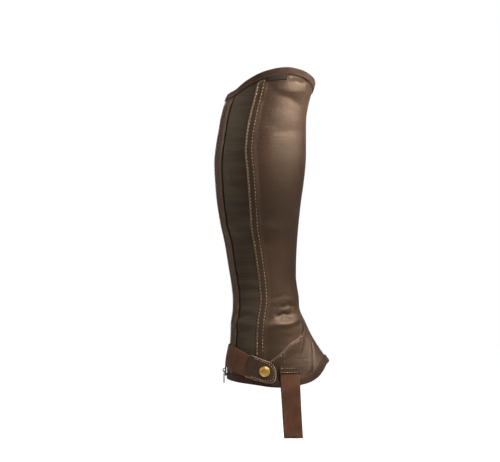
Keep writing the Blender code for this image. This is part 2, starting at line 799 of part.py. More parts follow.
def build():
    leather = material("leather", "#4A3529", 0.42)
    binding_tape = material("binding_tape", "#3A2723", 0.8)
    stretch = material("elastic", "#1F211C", 0.85)
    webbing = material("webbing", "#4A2620", 0.85)
    zip_tape = material("zip_tape", "#33231F", 0.8)
    dark_metal = material("dark_metal", "#3C3A38", 0.35, 1.0)
    silver = material("nickel", "#B9B7B2", 0.3, 1.0)
    brass = material("brass", "#B98B3A", 0.3, 1.0)

    outer_zip, inner_zip = from_zip(ZIP_HALF + SEAM), from_zip(-ZIP_HALF - SEAM)
    outer_angles = [angle for angle, _ in OUTER_SEAM if angle < 90][::-1]
    inner_angles = [-angle for angle, _ in INNER_SEAM[1:]]
    panel(
        "main_panel",
        [
            beside(elastic_front, SEAM / 2),
            beside(elastic_front, FOLD_WIDTH),
            beside(elastic_front, FOLD_WIDTH + 1.0),
            *[level_angle(angle) for angle in outer_angles],
            *[level_angle(angle) for angle in inner_angles],
            round_the_front(inner_zip),
        ],
        [2, 1, 3] + columns_between(outer_angles + inner_angles) + [4],
        below(top, 0.3),
        above(instep_seam, SEAM),
        LONG_ROWS,
        LEATHER,
        leather,
        rises=[FOLD_RISE, FOLD_RISE, 0.0] + [0.0] * (len(outer_angles + inner_angles) + 1),
    )
    panel(
        "elastic_panel",
        (beside(strip_front, SEAM / 2), beside(elastic_front, -SEAM)),
        (5,),
        below(top, 0.3),
        above(hem, 0.3),
        LONG_ROWS,
        ELASTIC,
        stretch,
    )
    panel(
        "zip_strip",
        (outer_zip, beside(strip_front, -SEAM / 2)),
        (3,),
        below(top, 0.3),
        above(hem, 0.3),
        LONG_ROWS,
        LEATHER,
        leather,
    )
    for name, far, near in (
        ("zip_tape_outer", CHAIN_HALF + SEAM, ZIP_HALF),
        ("zip_tape_inner", -ZIP_HALF, -CHAIN_HALF - SEAM),
    ):
        panel(
            name,
            (from_zip(far), from_zip(near)),
            (1,),
            lambda angle: ZIP_TOP + 0 * angle,
            lambda angle: ZIP_FOOT + 0 * angle,
            LONG_ROWS,
            TAPE,
            zip_tape,
            out=-TAPE_SINK,
        )
    panel(
        "zip_chain",
        (from_zip(-CHAIN_HALF), from_zip(0), from_zip(CHAIN_HALF)),
        (1, 1),
        lambda angle: BOX_LEVEL - BOX_SIZE[1] / 2 - SEAM + 0 * angle,
        lambda angle: SLIDER_LEVEL + 0 * angle,
        LONG_ROWS,
        CHAIN_WALL,
        dark_metal,
        out=CHAIN_RISE,
    )
    zip_top_box(silver)
    panel(
        "tongue",
        (beside(tongue_edge, SEAM), shin, mirrored(beside(tongue_edge, SEAM))),
        (6, 6),
        below(instep_seam, 2 * SEAM),
        above(hem, 0.3),
        14,
        LEATHER,
        leather,
    )
    outer_lines, outer_counts = fanned(OUTER_SEAM, beside(elastic_front, SEAM / 2))
    inner_lines, inner_counts = fanned(INNER_SEAM, level_angle(131.0))
    panel(
        "gusset_outer",
        outer_lines,
        outer_counts,
        below(instep_seam, 2 * SEAM),
        above(hem, 0.3),
        14,
        LEATHER,
        leather,
    )
    panel(
        "gusset_inner",
        [mirrored(line) for line in inner_lines[::-1]],
        inner_counts[::-1],
        below(instep_seam, 2 * SEAM),
        above(hem, 0.3),
        14,
        LEATHER,
        leather,
    )
    first = float(outer_zip(np.array([97.0]))[0])
    last = float(inner_zip(np.array([97.0]))[0]) - 360
    binding("top_binding", top, first, last, 48, 1, binding_tape)
    first = float(outer_zip(np.array([-290.0]))[0])
    last = float(inner_zip(np.array([-290.0]))[0]) - 360
    binding("hem_binding", hem, first, last, 44, -1, binding_tape)
    panel(
        "label",
        (level_angle(101.0), level_angle(74.5)),
        (4,),
        below(top, LABEL_TOP),
        below(top, LABEL_FOOT),
        1,
        TAPE,
        binding_tape,
        out=TAPE + CLEAR,
    )
    ankle_strap(webbing)
    snap_tab(leather)
    snap(brass, brass)
    stirrup(webbing, binding_tape)
    slider(dark_metal)
    pull_tab(dark_metal)


for old in list(bpy.data.objects):
    bpy.data.objects.remove(old)
chap = bpy.data.collections.new("half_chap")
cutters = bpy.data.collections.new("guides")
for group in (chap, cutters):
    bpy.context.scene.collection.children.link(group)
build()
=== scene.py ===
"""The looks of a half chap for the right leg: a brown leather gaiter with an elastic panel.

The sections follow the order in which a maker would cut and sew the pieces. Sizes are in millimetres and are
turned to metres where a mesh is filled. An angle on the leg is in degrees: 0 at the shin, 90 at the outer
side, 180 at the back and -90 at the inner side.
"""

import math

import bmesh
import bpy
import numpy as np
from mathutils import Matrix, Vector


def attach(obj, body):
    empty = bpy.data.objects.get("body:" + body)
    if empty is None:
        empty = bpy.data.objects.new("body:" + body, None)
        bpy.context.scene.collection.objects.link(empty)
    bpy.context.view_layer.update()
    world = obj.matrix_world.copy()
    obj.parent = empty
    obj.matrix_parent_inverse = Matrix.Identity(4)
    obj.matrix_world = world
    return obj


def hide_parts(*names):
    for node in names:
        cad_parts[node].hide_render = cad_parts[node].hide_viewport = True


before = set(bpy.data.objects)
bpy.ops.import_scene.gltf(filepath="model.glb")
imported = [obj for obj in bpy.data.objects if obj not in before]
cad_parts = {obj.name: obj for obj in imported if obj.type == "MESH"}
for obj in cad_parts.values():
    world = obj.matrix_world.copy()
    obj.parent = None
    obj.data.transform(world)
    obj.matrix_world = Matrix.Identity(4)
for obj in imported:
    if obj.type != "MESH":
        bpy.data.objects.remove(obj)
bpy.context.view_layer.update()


# ---- The leg that every piece is cut for ----
# A half chap is sewn flat and takes this shape when it is zipped round the leg. Level sections give the leg,
# and the folds are those that use has worn into the leather.

MM = 0.001
LEG = (
    # height, back, front, half_width, egg
    (138.0, -30.0, 78.5, 51.0, 0.05),
    (113.0, -36.7, 74.8, 50.5, 0.06),
    (97.0, -42.2, 70.0, 50.0, 0.08),
    (80.0, -48.8, 65.6, 50.0, 0.10),
    (64.0, -53.0, 63.0, 50.5, 0.12),
    (48.0, -55.8, 62.6, 51.0, 0.13),
    (31.0, -58.8, 62.6, 51.5, 0.14),
    (7.0, -61.6, 62.4, 52.0, 0.15),
    (-26.0, -60.4, 59.2, 51.0, 0.15),
    (-50.0, -58.3, 55.8, 49.0, 0.14),
    (-75.0, -54.4, 53.0, 46.0, 0.13),
    (-107.0, -47.6, 50.3, 42.0, 0.11),
    (-140.0, -42.2, 49.0, 38.5, 0.09),
    (-165.0, -38.2, 49.6, 36.5, 0.07),
    (-181.0, -36.7, 52.6, 36.0, 0.06),
    (-197.0, -36.9, 54.2, 36.5, 0.06),
    (-213.0, -39.2, 61.5, 37.5, 0.07),
    (-230.0, -39.8, 69.4, 38.5, 0.08),
    (-246.0, -40.9, 79.0, 39.0, 0.10),
    (-262.0, -43.4, 90.4, 39.0, 0.13),
    (-279.0, -44.9, 103.4, 39.0, 0.16),
    (-306.0, -43.5, 124.0, 39.0, 0.20),
)
FOLDS = (
    # angle_1, height_1, angle_2, height_2, half_height, depth: a trough, or a ridge if the depth is negative
    (175.0, 33.0, 96.0, 32.0, 4.0, 0.8),
    (170.0, 18.0, 118.0, 16.0, 3.0, 0.5),
    (178.0, -80.0, 20.0, -92.0, 9.0, -1.3),
    (176.0, -100.0, 60.0, -108.0, 8.0, 0.9),
    (178.0, -150.0, 90.0, -156.0, 4.5, 0.7),
    (176.0, -168.0, 80.0, -170.0, 4.5, 0.7),
    (68.0, -192.5, 26.0, -190.5, 2.8, 1.5),
    (78.0, -205.0, 42.0, -202.5, 3.0, 2.8),
    (98.0, -221.0, 20.0, -207.0, 4.6, -3.2),
    (104.0, -229.0, 26.0, -216.0, 11.0, -2.2),
    (90.0, -180.0, 30.0, -176.0, 3.4, 0.5),
    (176.0, -202.0, 104.0, -206.0, 4.0, 1.6),
    (176.0, -213.0, 104.0, -217.0, 5.0, -1.2),
    (170.0, -190.0, 112.0, -192.0, 3.0, 0.8),
    (174.0, -228.0, 112.0, -226.0, 3.4, 0.7),
    (-176.0, -190.0, -30.0, -206.0, 6.0, -2.0),
    (-178.0, -199.0, -24.0, -217.0, 4.0, 3.4),
    (-170.0, -212.0, -30.0, -229.0, 5.5, -1.8),
    (-172.0, -226.0, -60.0, -236.0, 3.6, 1.2),
    (-150.0, -150.0, -20.0, -168.0, 6.0, 1.2),
    (-168.0, -176.0, -70.0, -184.0, 4.0, 1.0),
    (-160.0, 60.0, -60.0, 38.0, 10.0, 1.0),
    (96.0, 103.0, 28.0, 78.0, 5.5, 1.0),
    (88.0, 102.0, 6.0, 94.0, 8.0, -1.6),
    (84.0, 66.0, 26.0, 58.0, 12.0, -1.1),
    (78.0, 47.0, 4.0, 44.0, 6.5, 0.7),
    (72.0, 112.0, 22.0, 112.0, 2.6, 0.9),
)
FOLD_STRAY, FOLD_WAVES = 1.2, 11  # how far a fold strays from its straight line, and radians along it
FOLD_ENDS = 0.8  # the power of the sine that makes a fold run out at its ends
STEP = 0.4  # to each side of a place, in degrees or millimetres, where its slope is measured


def smooth(table, at, column=1):
    """Reads a column of a table as a smooth curve: a cubic between rows, sloped by their neighbours."""
    rows = np.array(sorted(table), float)
    known, values = rows[:, 0], rows[:, column]
    slopes = np.gradient(values, known)
    at = np.clip(np.asarray(at, float), known[0], known[-1])
    i = np.clip(np.searchsorted(known, at) - 1, 0, len(known) - 2)
    step = known[i + 1] - known[i]
    t = (at - known[i]) / step
    rise = values[i + 1] - values[i]
    start, end = slopes[i] * step - rise, rise - slopes[i + 1] * step
    return values[i] + rise * t + t * (1 - t) * (start * (1 - t) + end * t)


def section(height):
    """The leg's level section: its middle, half its depth, half its width, and how egg-shaped it is."""
    back, front, half_width, egg = (smooth(LEG, height, column) for column in (1, 2, 3, 4))
    return (back + front) / 2, (front - back) / 2, half_width, egg


def folded(angle, height):
    """Adds up the folds: each is a bell across its line, as deep as a sine makes it along the line."""
    turn = (angle + 180) % 360 - 180
    push = 0.0
    for angle_1, height_1, angle_2, height_2, half_height, depth in FOLDS:
        along = np.clip((turn - angle_1) / (angle_2 - angle_1), 0, 1)
        stray = FOLD_STRAY * np.sin(along * FOLD_WAVES + height_1) * np.sin(along * math.pi)
        middle = height_1 + along * (height_2 - height_1) + stray
        bell = np.exp(-(((height - middle) / half_height) ** 2))
        push = push - depth * np.sin(math.pi * along) ** FOLD_ENDS * bell
    return push


def skin(angle, height):
    """An ellipse at each height, wider behind its middle by the egg share, and moved by the folds."""
    middle, reach, half_width, egg = section(height)
    a, push = np.radians(angle), folded(angle, height)
    x = middle + (reach + push) * np.cos(a)
    y = -(half_width + push) * np.sin(a) * (1 - egg * np.cos(a))
    return np.stack(np.broadcast_arrays(x, y, height), axis=-1)


def outward(angle, height):
    """The leg's unit normal: the cross product of how the surface runs up and how it runs round."""
    round_it = skin(angle + STEP, height) - skin(angle - STEP, height)
    up_it = skin(angle, height + STEP) - skin(angle, height - STEP)
    normal = np.cross(up_it, round_it)
    return normal / np.linalg.norm(normal, axis=-1, keepdims=True)


def on_leg(angle, height, out=0.0):
    """A point of the leg's surface moved along its normal."""
    angle, height = np.broadcast_arrays(np.asarray(angle, float), np.asarray(height, float))
    return skin(angle, height) + outward(angle, height) * np.asarray(out)[..., None]


# ---- Main panel ----
# One piece of grained cowhide round the shin and the inner calf. Its edge along the elastic is folded under
# and held down by two rows of stitches. Its other edge is turned under along the zip.

LEATHER = 1.3
FOLD_WIDTH, FOLD_RISE = 10.4, 1.5
ROW_1, ROW_2 = 2.0, 9.0  # the two rows of stitches, from the folded edge
ROW_DEPTH = 0.3
TURN_RISE, TURN_WIDTH = 0.4, (5, 8)  # the turned edge along the zip, and where it runs out
UNDER_BINDING = (7, 12)  # from an edge: raised forms are flat under the binding and whole beyond it
LAP_RISE, LAP_WIDTH = 0.8, (3, 8)  # where the panel laps over the gussets and the tongue by the shin
UNDER_GUSSET = 5.0  # how far the panel goes on under the gussets
CLEAR = 0.3  # what keeps a cut edge off the crown of the binding
ZIP_HALF = 7.0  # from the middle of the zip to the leather's edge
RUB_HIGHLIGHT = 0.55  # how pale a folded edge is painted: partly real rubbing, partly a painted highlight
LEVELS = np.linspace(-314.0, 142.0, 229)  # every 2 mm
MID_LEG, SEARCH_STEPS = -150.0, 60  # where the search for an edge's height starts, and its steps
ELASTIC_FRONT = (
    # height, forward
    (126.0, -0.5),
    (113.0, -2.7),
    (95.0, -6.8),
    (68.0, -13.6),
    (38.0, -19.0),
    (20.0, -20.4),
    (-7.0, -18.0),
    (-48.0, -15.0),
    (-88.0, -12.0),
    (-122.0, -6.8),
    (-163.0, -1.6),
    (-184.0, -0.2),
    (-211.0, -3.8),
    (-252.0, -5.4),
    (-302.0, -4.4),
)
BACK_EDGES = (  # along the leg's surface from its back line, towards the outer side
    # height, zip_middle, strip_front
    (140.0, 8.0, 33.0),
    (95.0, 8.0, 33.0),
    (0.0, 9.0, 35.0),
    (-100.0, 5.0, 30.0),
    (-180.0, 1.0, 25.5),
    (-240.0, 0.0, 24.0),
    (-310.0, 0.0, 24.0),
)
TOP = (
    # angle, height
    (190.0, 95.5),
    (172.0, 96.5),
    (148.0, 101.0),
    (133.0, 111.5),
    (119.0, 119.5),
    (97.0, 127.5),
    (74.0, 130.3),
    (55.0, 127.5),
    (26.0, 118.5),
    (0.0, 108.5),
    (-20.0, 101.0),
    (-40.0, 94.5),
    (-62.0, 90.5),
    (-90.0, 90.0),
    (-120.0, 92.5),
    (-150.0, 95.0),
    (-190.0, 95.5),
)
HEM = (
    # height, forward
    (-289.5, -43.9),
    (-294.0, -27.2),
    (-297.0, -5.4),
    (-300.0, 16.3),
    (-300.0, 38.1),
    (-297.0, 54.4),
    (-293.0, 68.0),
    (-287.0, 77.5),
    (-279.0, 84.3),
    (-271.5, 88.4),
)
HEM_FRONT = -264.5
OUTER_SEAM = (
    # angle, height
    (0.0, -170.0),
    (8.5, -184.5),
    (13.0, -197.5),
    (22.0, -210.0),
    (36.0, -226.0),
    (51.5, -235.0),
    (67.0, -242.0),
    (82.0, -253.4),
    (117.5, -279.8),
    (140.0, -297.0),
)
INNER_SEAM = (
    # angle, height
    (0.0, -170.0),
    (8.5, -184.5),
    (13.0, -197.5),
    (22.0, -210.0),
    (36.0, -224.0),
    (51.5, -232.0),
    (67.0, -238.0),
    (85.0, -244.0),
    (98.0, -248.0),
    (111.0, -251.0),
    (119.0, -259.0),
    (131.0, -277.0),
    (140.0, -297.0),
)


def track(angles):
    """A line down the leg, kept as its angle at each of LEVELS and read between them."""
    return lambda height: np.interp(height, LEVELS, angles)


def beside(line, across):
    """A line moved along the surface towards the shin by so many millimetres."""
    angles = line(LEVELS)
    run = np.linalg.norm(skin(angles + 0.5, LEVELS) - skin(angles - 0.5, LEVELS), axis=-1)
    return track(angles - across / run)


def ramp(distance, start, end):
    """0 before start, 1 after end, and a smooth S between."""
    t = np.clip((distance - start) / (end - start), 0, 1)
    return t * t * (3 - 2 * t)


def near(distance, start, end):
    """1 before start, 0 after end, and a smooth S between."""
    return 1 - ramp(distance, start, end)


def rim(distance, radius=1.5, drop=0.6):
    """How far a rounded rim falls away: a quarter circle over its radius, flattened to a share of it."""
    return radius * drop * (1 - np.sqrt(np.clip(1 - (1 - distance / radius).clip(0) ** 2, 0, 1)))


def groove(distance, row, depth, half_width=0.8):
    """The furrow that a row of stitches pulls: a bell across the row."""
    return depth * np.exp(-(((distance - row) / half_width) ** 2))


def put(name, mesh, looks):
    """Shades a mesh smooth and puts it into the scene as an object with its materials."""
    mesh.shade_smooth()
    made = bpy.data.objects.new(name, mesh)
    for look in looks:
        made.data.materials.append(look)
    bpy.context.scene.collection.objects.link(made)
    return made


def fill(name, points, looks, uv=None, closed_across=False, rub_highlight_and_shade=None):
    """Makes a mesh of a grid of points in millimetres: quads between neighbours, with their faces outwards.

    Its last argument is 1 where an edge is painted pale, partly real rubbing and partly a painted highlight,
    and -1 where painted shade darkens a seam.
    """
    across, down = points.shape[:2]
    index = np.arange(across * down).reshape(across, down)
    if closed_across:
        index = np.vstack([index, index[:1]])
    corners = [index[:-1, :-1], index[:-1, 1:], index[1:, 1:], index[1:, :-1]]
    mesh = bpy.data.meshes.new(name)
    mesh.from_pydata((points * MM).reshape(-1, 3), [], np.stack(corners, axis=-1).reshape(-1, 4))
    if uv is not None:
        layer = mesh.uv_layers.new(name="cloth")
        used = np.empty(len(mesh.loops), np.int32)
        mesh.loops.foreach_get("vertex_index", used)
        layer.data.foreach_set("uv", (uv.reshape(-1, 2)[used] * MM).ravel())
    if rub_highlight_and_shade is not None:
        values = np.broadcast_to(rub_highlight_and_shade, points.shape[:2]).astype(np.float32).ravel()
        mesh.attributes.new("rub_highlight_and_shade", "FLOAT", "POINT").data.foreach_set("value", values)
    return put(name, mesh, looks)


def give_wall(made, thickness, even=False):
    """Solidify gives cloth its wall, inwards; even keeps the wall's thickness in sharp bends."""
    solidify = made.modifiers.new("Wall", "SOLIDIFY")
    solidify.thickness, solidify.offset, solidify.use_even_offset = thickness * MM, -1.0, even
    if len(made.data.materials) > 1:
        solidify.material_offset = 1


def cloth(name, sides, ends, grid, wall, looks, rise, rub_highlight_and_shade=None):
    """Lays a piece of cloth on the leg between two side lines and two end edges.

    A point is at a share across and a share down: its angle runs evenly from side to side and its height
    evenly from end to end. rise() lifts it by its distances in millimetres from the four edges, left, right,
    high and low, and the last argument paints it by the same: pale at edges, partly real rubbing and partly a
    painted highlight, and dark with painted shade in seams.
    """
    across = np.linspace(0, 1, grid[0] + 1)[:, None]
    tips = []
    for edge in ends:
        height = np.full(across.shape, MID_LEG)
        for _ in range(SEARCH_STEPS):
            height = (height + edge(sides[0](height) * (1 - across) + sides[1](height) * across)) / 2
        tips.append(height)
    height = tips[0] + (tips[1] - tips[0]) * np.linspace(0, 1, grid[1] + 1)
    angle = sides[0](height) * (1 - across) + sides[1](height) * across
    flat = on_leg(angle, height)
    runs = []
    for axis in (0, 1):
        steps = np.linalg.norm(np.diff(flat, axis=axis), axis=-1)
        run = np.cumsum(np.insert(steps, 0, 0, axis=axis), axis=axis)
        runs += [run, np.take(run, [-1], axis=axis) - run]
    along, down = np.gradient(flat, axis=0), np.gradient(flat, axis=1)
    square = np.linalg.norm(np.cross(along, down), axis=-1)
    square /= np.linalg.norm(along, axis=-1) * np.linalg.norm(down, axis=-1)
    edges = [run * square for run in runs]
    points = on_leg(angle, height, rise(*edges, angle, height))
    uv = np.stack([runs[0], -runs[2]], axis=-1)
    made = fill(name, points, looks, uv=uv, rub_highlight_and_shade=rub_highlight_and_shade(*edges, angle, height) if rub_highlight_and_shade else None)
    give_wall(made, wall)
    return made


def angle_seen_at(forward, height):
    """The outer side's angle where a section is so far forward: the arc cosine of its share of the reach."""
    middle, reach, _, _ = section(height)
    return np.degrees(np.arccos(np.clip((forward - middle) / reach, -1, 1)))


def from_back(along):
    """A line at a distance along the surface from the back: a quarter section is summed up and read back."""
    middle, reach, half_width, egg = (part[:, None] for part in section(LEVELS))
    turns = np.radians(np.linspace(0, 90, 91))
    x, y = -reach * np.cos(turns), half_width * np.sin(turns) * (1 + egg * np.cos(turns))
    run = np.insert(np.cumsum(np.hypot(np.diff(x), np.diff(y)), axis=-1), 0, 0, axis=-1)
    turned = np.array([np.interp(abs(a), r, turns) for a, r in zip(along, run)])
    return track(180 - np.sign(along) * np.degrees(turned))


def from_zip(across):
    """A line beside the middle of the zip, towards the outer side."""
    return from_back(smooth(BACK_EDGES, LEVELS, 1) + across)


def past_the_shin(line):
    """The same line, reached the other way round the leg."""
    return lambda height: line(height) - 360


def top(angle):
    return smooth(TOP, angle)


hem_heights, hem_forward = np.array(HEM).T
HEM_BY_ANGLE = [(0.0, HEM_FRONT), *sorted(zip(angle_seen_at(hem_forward, hem_heights), hem_heights))]


def hem(angle):
    return smooth(HEM_BY_ANGLE, np.abs((angle + 180) % 360 - 180))


def instep_seam(angle):
    """Where the gussets and the tongue meet the leg's leather: a height by angle, never below the hem."""
    outer, inner = (smooth(table, np.abs(angle)) for table in (OUTER_SEAM, INNER_SEAM))
    return np.maximum(np.where(angle > 0, outer, inner), hem(angle))


def lower(edge, drop):
    return lambda angle: edge(angle) - drop


def by_shin(angle):
    """1 near the shin, where the leg's leather laps over the gussets, and 0 where they lap over it."""
    return near(np.abs(angle), 34, 46)


def linear(colour):
    """An sRGB hex colour as linear red, green and blue, and alpha."""
    parts = np.array([int(colour[i : i + 2], 16) / 255 for i in (1, 3, 5)])
    parts = np.where(parts <= 0.04045, parts / 12.92, ((parts + 0.055) / 1.055) ** 2.4)
    return (*parts, 1.0)


def node(look, kind, inputs=(), **settings):
    """Adds one node to a material with its settings and its inputs, each a value or another node's output."""
    made = look.node_tree.nodes.new("ShaderNode" + kind)
    for name, value in settings.items():
        setattr(made, name, value)
    for name, value in dict(inputs).items():
        if isinstance(value, bpy.types.NodeSocket):
            look.node_tree.links.new(value, made.inputs[name])
        else:
            made.inputs[name].default_value = value
    return made.outputs


def finish(name, inputs):
    """A new material with one Principled shader, whose inputs are values until patterns are linked."""
    look = bpy.data.materials.new(name)
    look.use_nodes = True
    shader = look.node_tree.nodes["Principled BSDF"]
    for key, value in inputs.items():
        shader.inputs[key].default_value = value
    return look, shader


def linked(look, shader, **sources):
    """Links patterns to a shader's inputs, whose names are written with _ for each space."""
    for key, source in sources.items():
        look.node_tree.links.new(source, shader.inputs[key.replace("_", " ")])


# Chrome-tanned cowhide with a pressed grain and a waxed, half-gloss finish. The grain is a net of furrows
# round pebbles, bent so that none is straight, and dark and rough where wax and dirt have settled. Two noises
# cloud the tone, and long level creases break the highlight as they do on worn leather.
HIDE_LIGHT, HIDE_DARK = "#3D291E", "#251912"
# The second pair: the pale of a rubbed edge, which also holds a painted highlight, and the painted shade of a
# seam.
HIDE_RUB_HIGHLIGHT, HIDE_PAINTED_SHADE = "#8F7660", "#0E0806"
GRAIN, GRAIN_BEND, GRAIN_DEPTH = 1.5, 3.846, 0.3  # a pebble, the waves that bend the furrows, and the relief
PATCH, FLECK, SWELL = 71.43, 5.263, 13.333  # the sizes of its clouds, flecks and soft swellings
CREASE_LONG, CREASE_HIGH, CREASE_DEPTH = 62.5, 14.286, 1.6
METRE = 1000.0

main_leather, hide_shader = finish(
    "waxed grained cowhide", {"Specular IOR Level": 0.65, "Specular Tint": (1.0, 0.8, 0.6, 1.0)}
)
hide_place = node(main_leather, "TexCoord")["Object"]
bends = node(main_leather, "TexNoise", {"Vector": hide_place, "Scale": METRE / GRAIN_BEND, "Detail": 2.0})
shift = node(main_leather, "VectorMath", {0: bends["Color"], 3: 1.2 * MM}, operation="SCALE")[0]
bent = node(main_leather, "VectorMath", {0: hide_place, 1: shift}, operation="ADD")[0]
pebbles = node(
    main_leather, "TexVoronoi", {"Vector": bent, "Scale": METRE / GRAIN}, feature="DISTANCE_TO_EDGE"
)[0]
furrow = node(
    main_leather,
    "MapRange",
    {"Value": pebbles, "From Min": 0.0, "From Max": 0.22},
    interpolation_type="SMOOTHSTEP",
)[0]
cloud = node(
    main_leather, "TexNoise", {"Vector": hide_place, "Scale": METRE / PATCH, "Detail": 5.0, "Roughness": 0.62}
)[0]
fleck = node(main_leather, "TexNoise", {"Vector": hide_place, "Scale": METRE / FLECK, "Detail": 3.0})[0]
tone = node(main_leather, "MapRange", {"Value": cloud, "From Min": 0.32, "From Max": 0.70})[0]
tone = node(main_leather, "Math", {0: fleck, 1: 0.25, 2: tone}, operation="MULTIPLY_ADD")[0]
hide = node(main_leather, "Mix", {0: tone, 6: linear(HIDE_DARK), 7: linear(HIDE_LIGHT)}, data_type="RGBA")[2]
pits = node(main_leather, "MapRange", {"Value": furrow, "To Min": 0.72, "To Max": 1.0})[0]
hide = node(main_leather, "Mix", {0: 1.0, 6: hide, 7: pits}, data_type="RGBA", blend_type="MULTIPLY")[2]
# A value per point: above 0 it paints an edge pale, partly real rubbing and partly a painted highlight; below
# 0 it paints shade into a seam.
rub_highlight_and_shade_read = node(main_leather, "Attribute", attribute_name="rub_highlight_and_shade")["Fac"]
rub_highlight_share = node(main_leather, "MapRange", {"Value": rub_highlight_and_shade_read, "To Max": 0.85})[0]
painted_shade_share = node(main_leather, "MapRange", {"Value": rub_highlight_and_shade_read, "From Max": -1.0, "To Max": 0.9})[0]
hide = node(main_leather, "Mix", {0: rub_highlight_share, 6: hide, 7: linear(HIDE_RUB_HIGHLIGHT)}, data_type="RGBA")[2]
hide = node(main_leather, "Mix", {0: painted_shade_share, 6: hide, 7: linear(HIDE_PAINTED_SHADE)}, data_type="RGBA")[2]
rough = node(main_leather, "MapRange", {"Value": furrow, "To Min": 0.5, "To Max": 0.33})[0]
rough = node(main_leather, "Math", {0: fleck, 1: 0.12, 2: rough}, operation="MULTIPLY_ADD")[0]
swell = node(main_leather, "TexNoise", {"Vector": hide_place, "Scale": METRE / SWELL, "Detail": 3.0})[0]
relief = node(main_leather, "Math", {0: swell, 1: 1.2, 2: furrow}, operation="MULTIPLY_ADD")[0]
crease_scale = (METRE / CREASE_LONG, METRE / CREASE_LONG, METRE / CREASE_HIGH)
crease_place = node(main_leather, "VectorMath", {0: hide_place, 1: crease_scale}, operation="MULTIPLY")[0]
creases = node(
    main_leather, "TexNoise", {"Vector": crease_place, "Scale": 1.0, "Detail": 4.0, "Roughness": 0.6}
)[0]
creased = node(main_leather, "Bump", {"Height": creases, "Strength": 0.5, "Distance": CREASE_DEPTH * MM})[0]
grained = node(
    main_leather,
    "Bump",
    {"Height": relief, "Strength": 0.35, "Distance": GRAIN_DEPTH * MM, "Normal": creased},
)[0]
linked(main_leather, hide_shader, Base_Color=hide, Roughness=rough, Normal=grained)

# The flesh side is brushed to a dull nap.
NAP = 1.111  # between its tufts, coarser than real so that they show
lining_look, lining_shader = finish(
    "brushed lining", {"Roughness": 0.92, "Sheen Weight": 0.3, "Base Color": linear("#3A2C25")}
)
lining_place = node(lining_look, "TexCoord")["Object"]
nap = node(lining_look, "TexNoise", {"Vector": lining_place, "Scale": METRE / NAP, "Detail": 2.0})[0]
brushed = node(lining_look, "Bump", {"Height": nap, "Strength": 0.5, "Distance": 0.3 * MM})[0]
linked(lining_look, lining_shader, Normal=brushed)

elastic_front = track(angle_seen_at(smooth(ELASTIC_FRONT, LEVELS), LEVELS))


def main_rise(left, right, high, low, angle, height):
    """The folded edge stands up, rounds off at its rim, is flat under the binding and has two grooves.

    The edge by the zip is turned under and sinks at its rim. By the shin the lower edge laps over the instep.
    """
    fold = FOLD_RISE * near(left, FOLD_WIDTH - 1, FOLD_WIDTH + 6) * ramp(high, *UNDER_BINDING)
    by_zip = TURN_RISE * near(right, *TURN_WIDTH) * ramp(high, *UNDER_BINDING) - 0.5 * near(right, 0, 1.2)
    rows = groove(left, ROW_1, ROW_DEPTH) + groove(left, ROW_2, ROW_DEPTH)
    lap = (LAP_RISE * near(low, *LAP_WIDTH) - rim(low, 1.3)) * by_shin(angle)
    return fold - rim(left, 1.6) + by_zip - rows + lap


def main_foot(angle):
    """The panel goes on under the gussets, but stops at the hem."""
    return np.maximum(instep_seam(angle) - UNDER_GUSSET * (1 - by_shin(angle)), hem(angle) + CLEAR)


main_panel = cloth(
    "main_panel_leather",
    sides=(elastic_front, past_the_shin(from_zip(-ZIP_HALF))),
    ends=(lower(top, CLEAR), main_foot),
    grid=(150, 240),
    wall=LEATHER,
    looks=[main_leather, lining_look],
    rise=main_rise,
    # Its folded edge is painted pale: partly real rubbing, partly a painted highlight.
    rub_highlight_and_shade=lambda left, *_: RUB_HIGHLIGHT * near(left, 0.3, 1.1),
)
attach(main_panel, "chap")
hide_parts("main_panel")


# ---- Elastic panel ----
# Corded elastic down the outer back of the calf, which lets the chap give. Thick rubber cords run across it
# inside a knitted face, so it shows fine level ribs.

ELASTIC = 1.1
RIB = 3.0  # from cord to cord
STITCH_SIZE = 0.7143  # of the knitted face
STREAK_LONG, STREAK_HIGH = 100.0, 11.11
UNDER = 5.0  # how far the elastic goes on under the leather at each side
ELASTIC_SINK, ELASTIC_DIP = 0.1, 0.25  # below the leather beside it, and below the zip strip's lap

# Dull nylon over rubber: level ribs in a knitted face, with long level streaks of painted shade and light for
# its shallow wrinkles.
elastic_look, elastic_shader = finish(
    "knitted rib elastic", {"Roughness": 0.85, "Sheen Weight": 0.05, "Specular IOR Level": 0.2}
)
cloth_place = node(elastic_look, "TexCoord")["UV"]
level_place = node(elastic_look, "TexCoord")["Object"]
ribs = node(
    elastic_look, "TexWave", {"Vector": level_place, "Scale": 100 * math.pi / RIB}, bands_direction="Z"
)[0]
knit = node(elastic_look, "TexNoise", {"Vector": cloth_place, "Scale": METRE / STITCH_SIZE, "Detail": 2.0})[0]
streak_scale = (METRE / STREAK_LONG, METRE / STREAK_LONG, METRE / STREAK_HIGH)
streaked = node(elastic_look, "VectorMath", {0: level_place, 1: streak_scale}, operation="MULTIPLY")[0]
# Painted shade and light of shallow level wrinkles.
painted_wrinkle_shading = node(elastic_look, "TexNoise", {"Vector": streaked, "Scale": 1.0, "Detail": 4.0})[0]
tone = node(elastic_look, "Math", {0: ribs, 1: 0.22, 2: painted_wrinkle_shading}, operation="MULTIPLY_ADD")[0]
tone = node(elastic_look, "MapRange", {"Value": tone, "From Min": 0.2, "From Max": 1.0})[0]
dyed = node(elastic_look, "Mix", {0: tone, 6: linear("#292219"), 7: linear("#483F33")}, data_type="RGBA")[2]
relief = node(elastic_look, "Math", {0: knit, 1: 0.5, 2: ribs}, operation="MULTIPLY_ADD")[0]
ribbed = node(elastic_look, "Bump", {"Height": relief, "Strength": 0.35, "Distance": 0.4 * MM})[0]
linked(elastic_look, elastic_shader, Base_Color=dyed, Normal=ribbed)

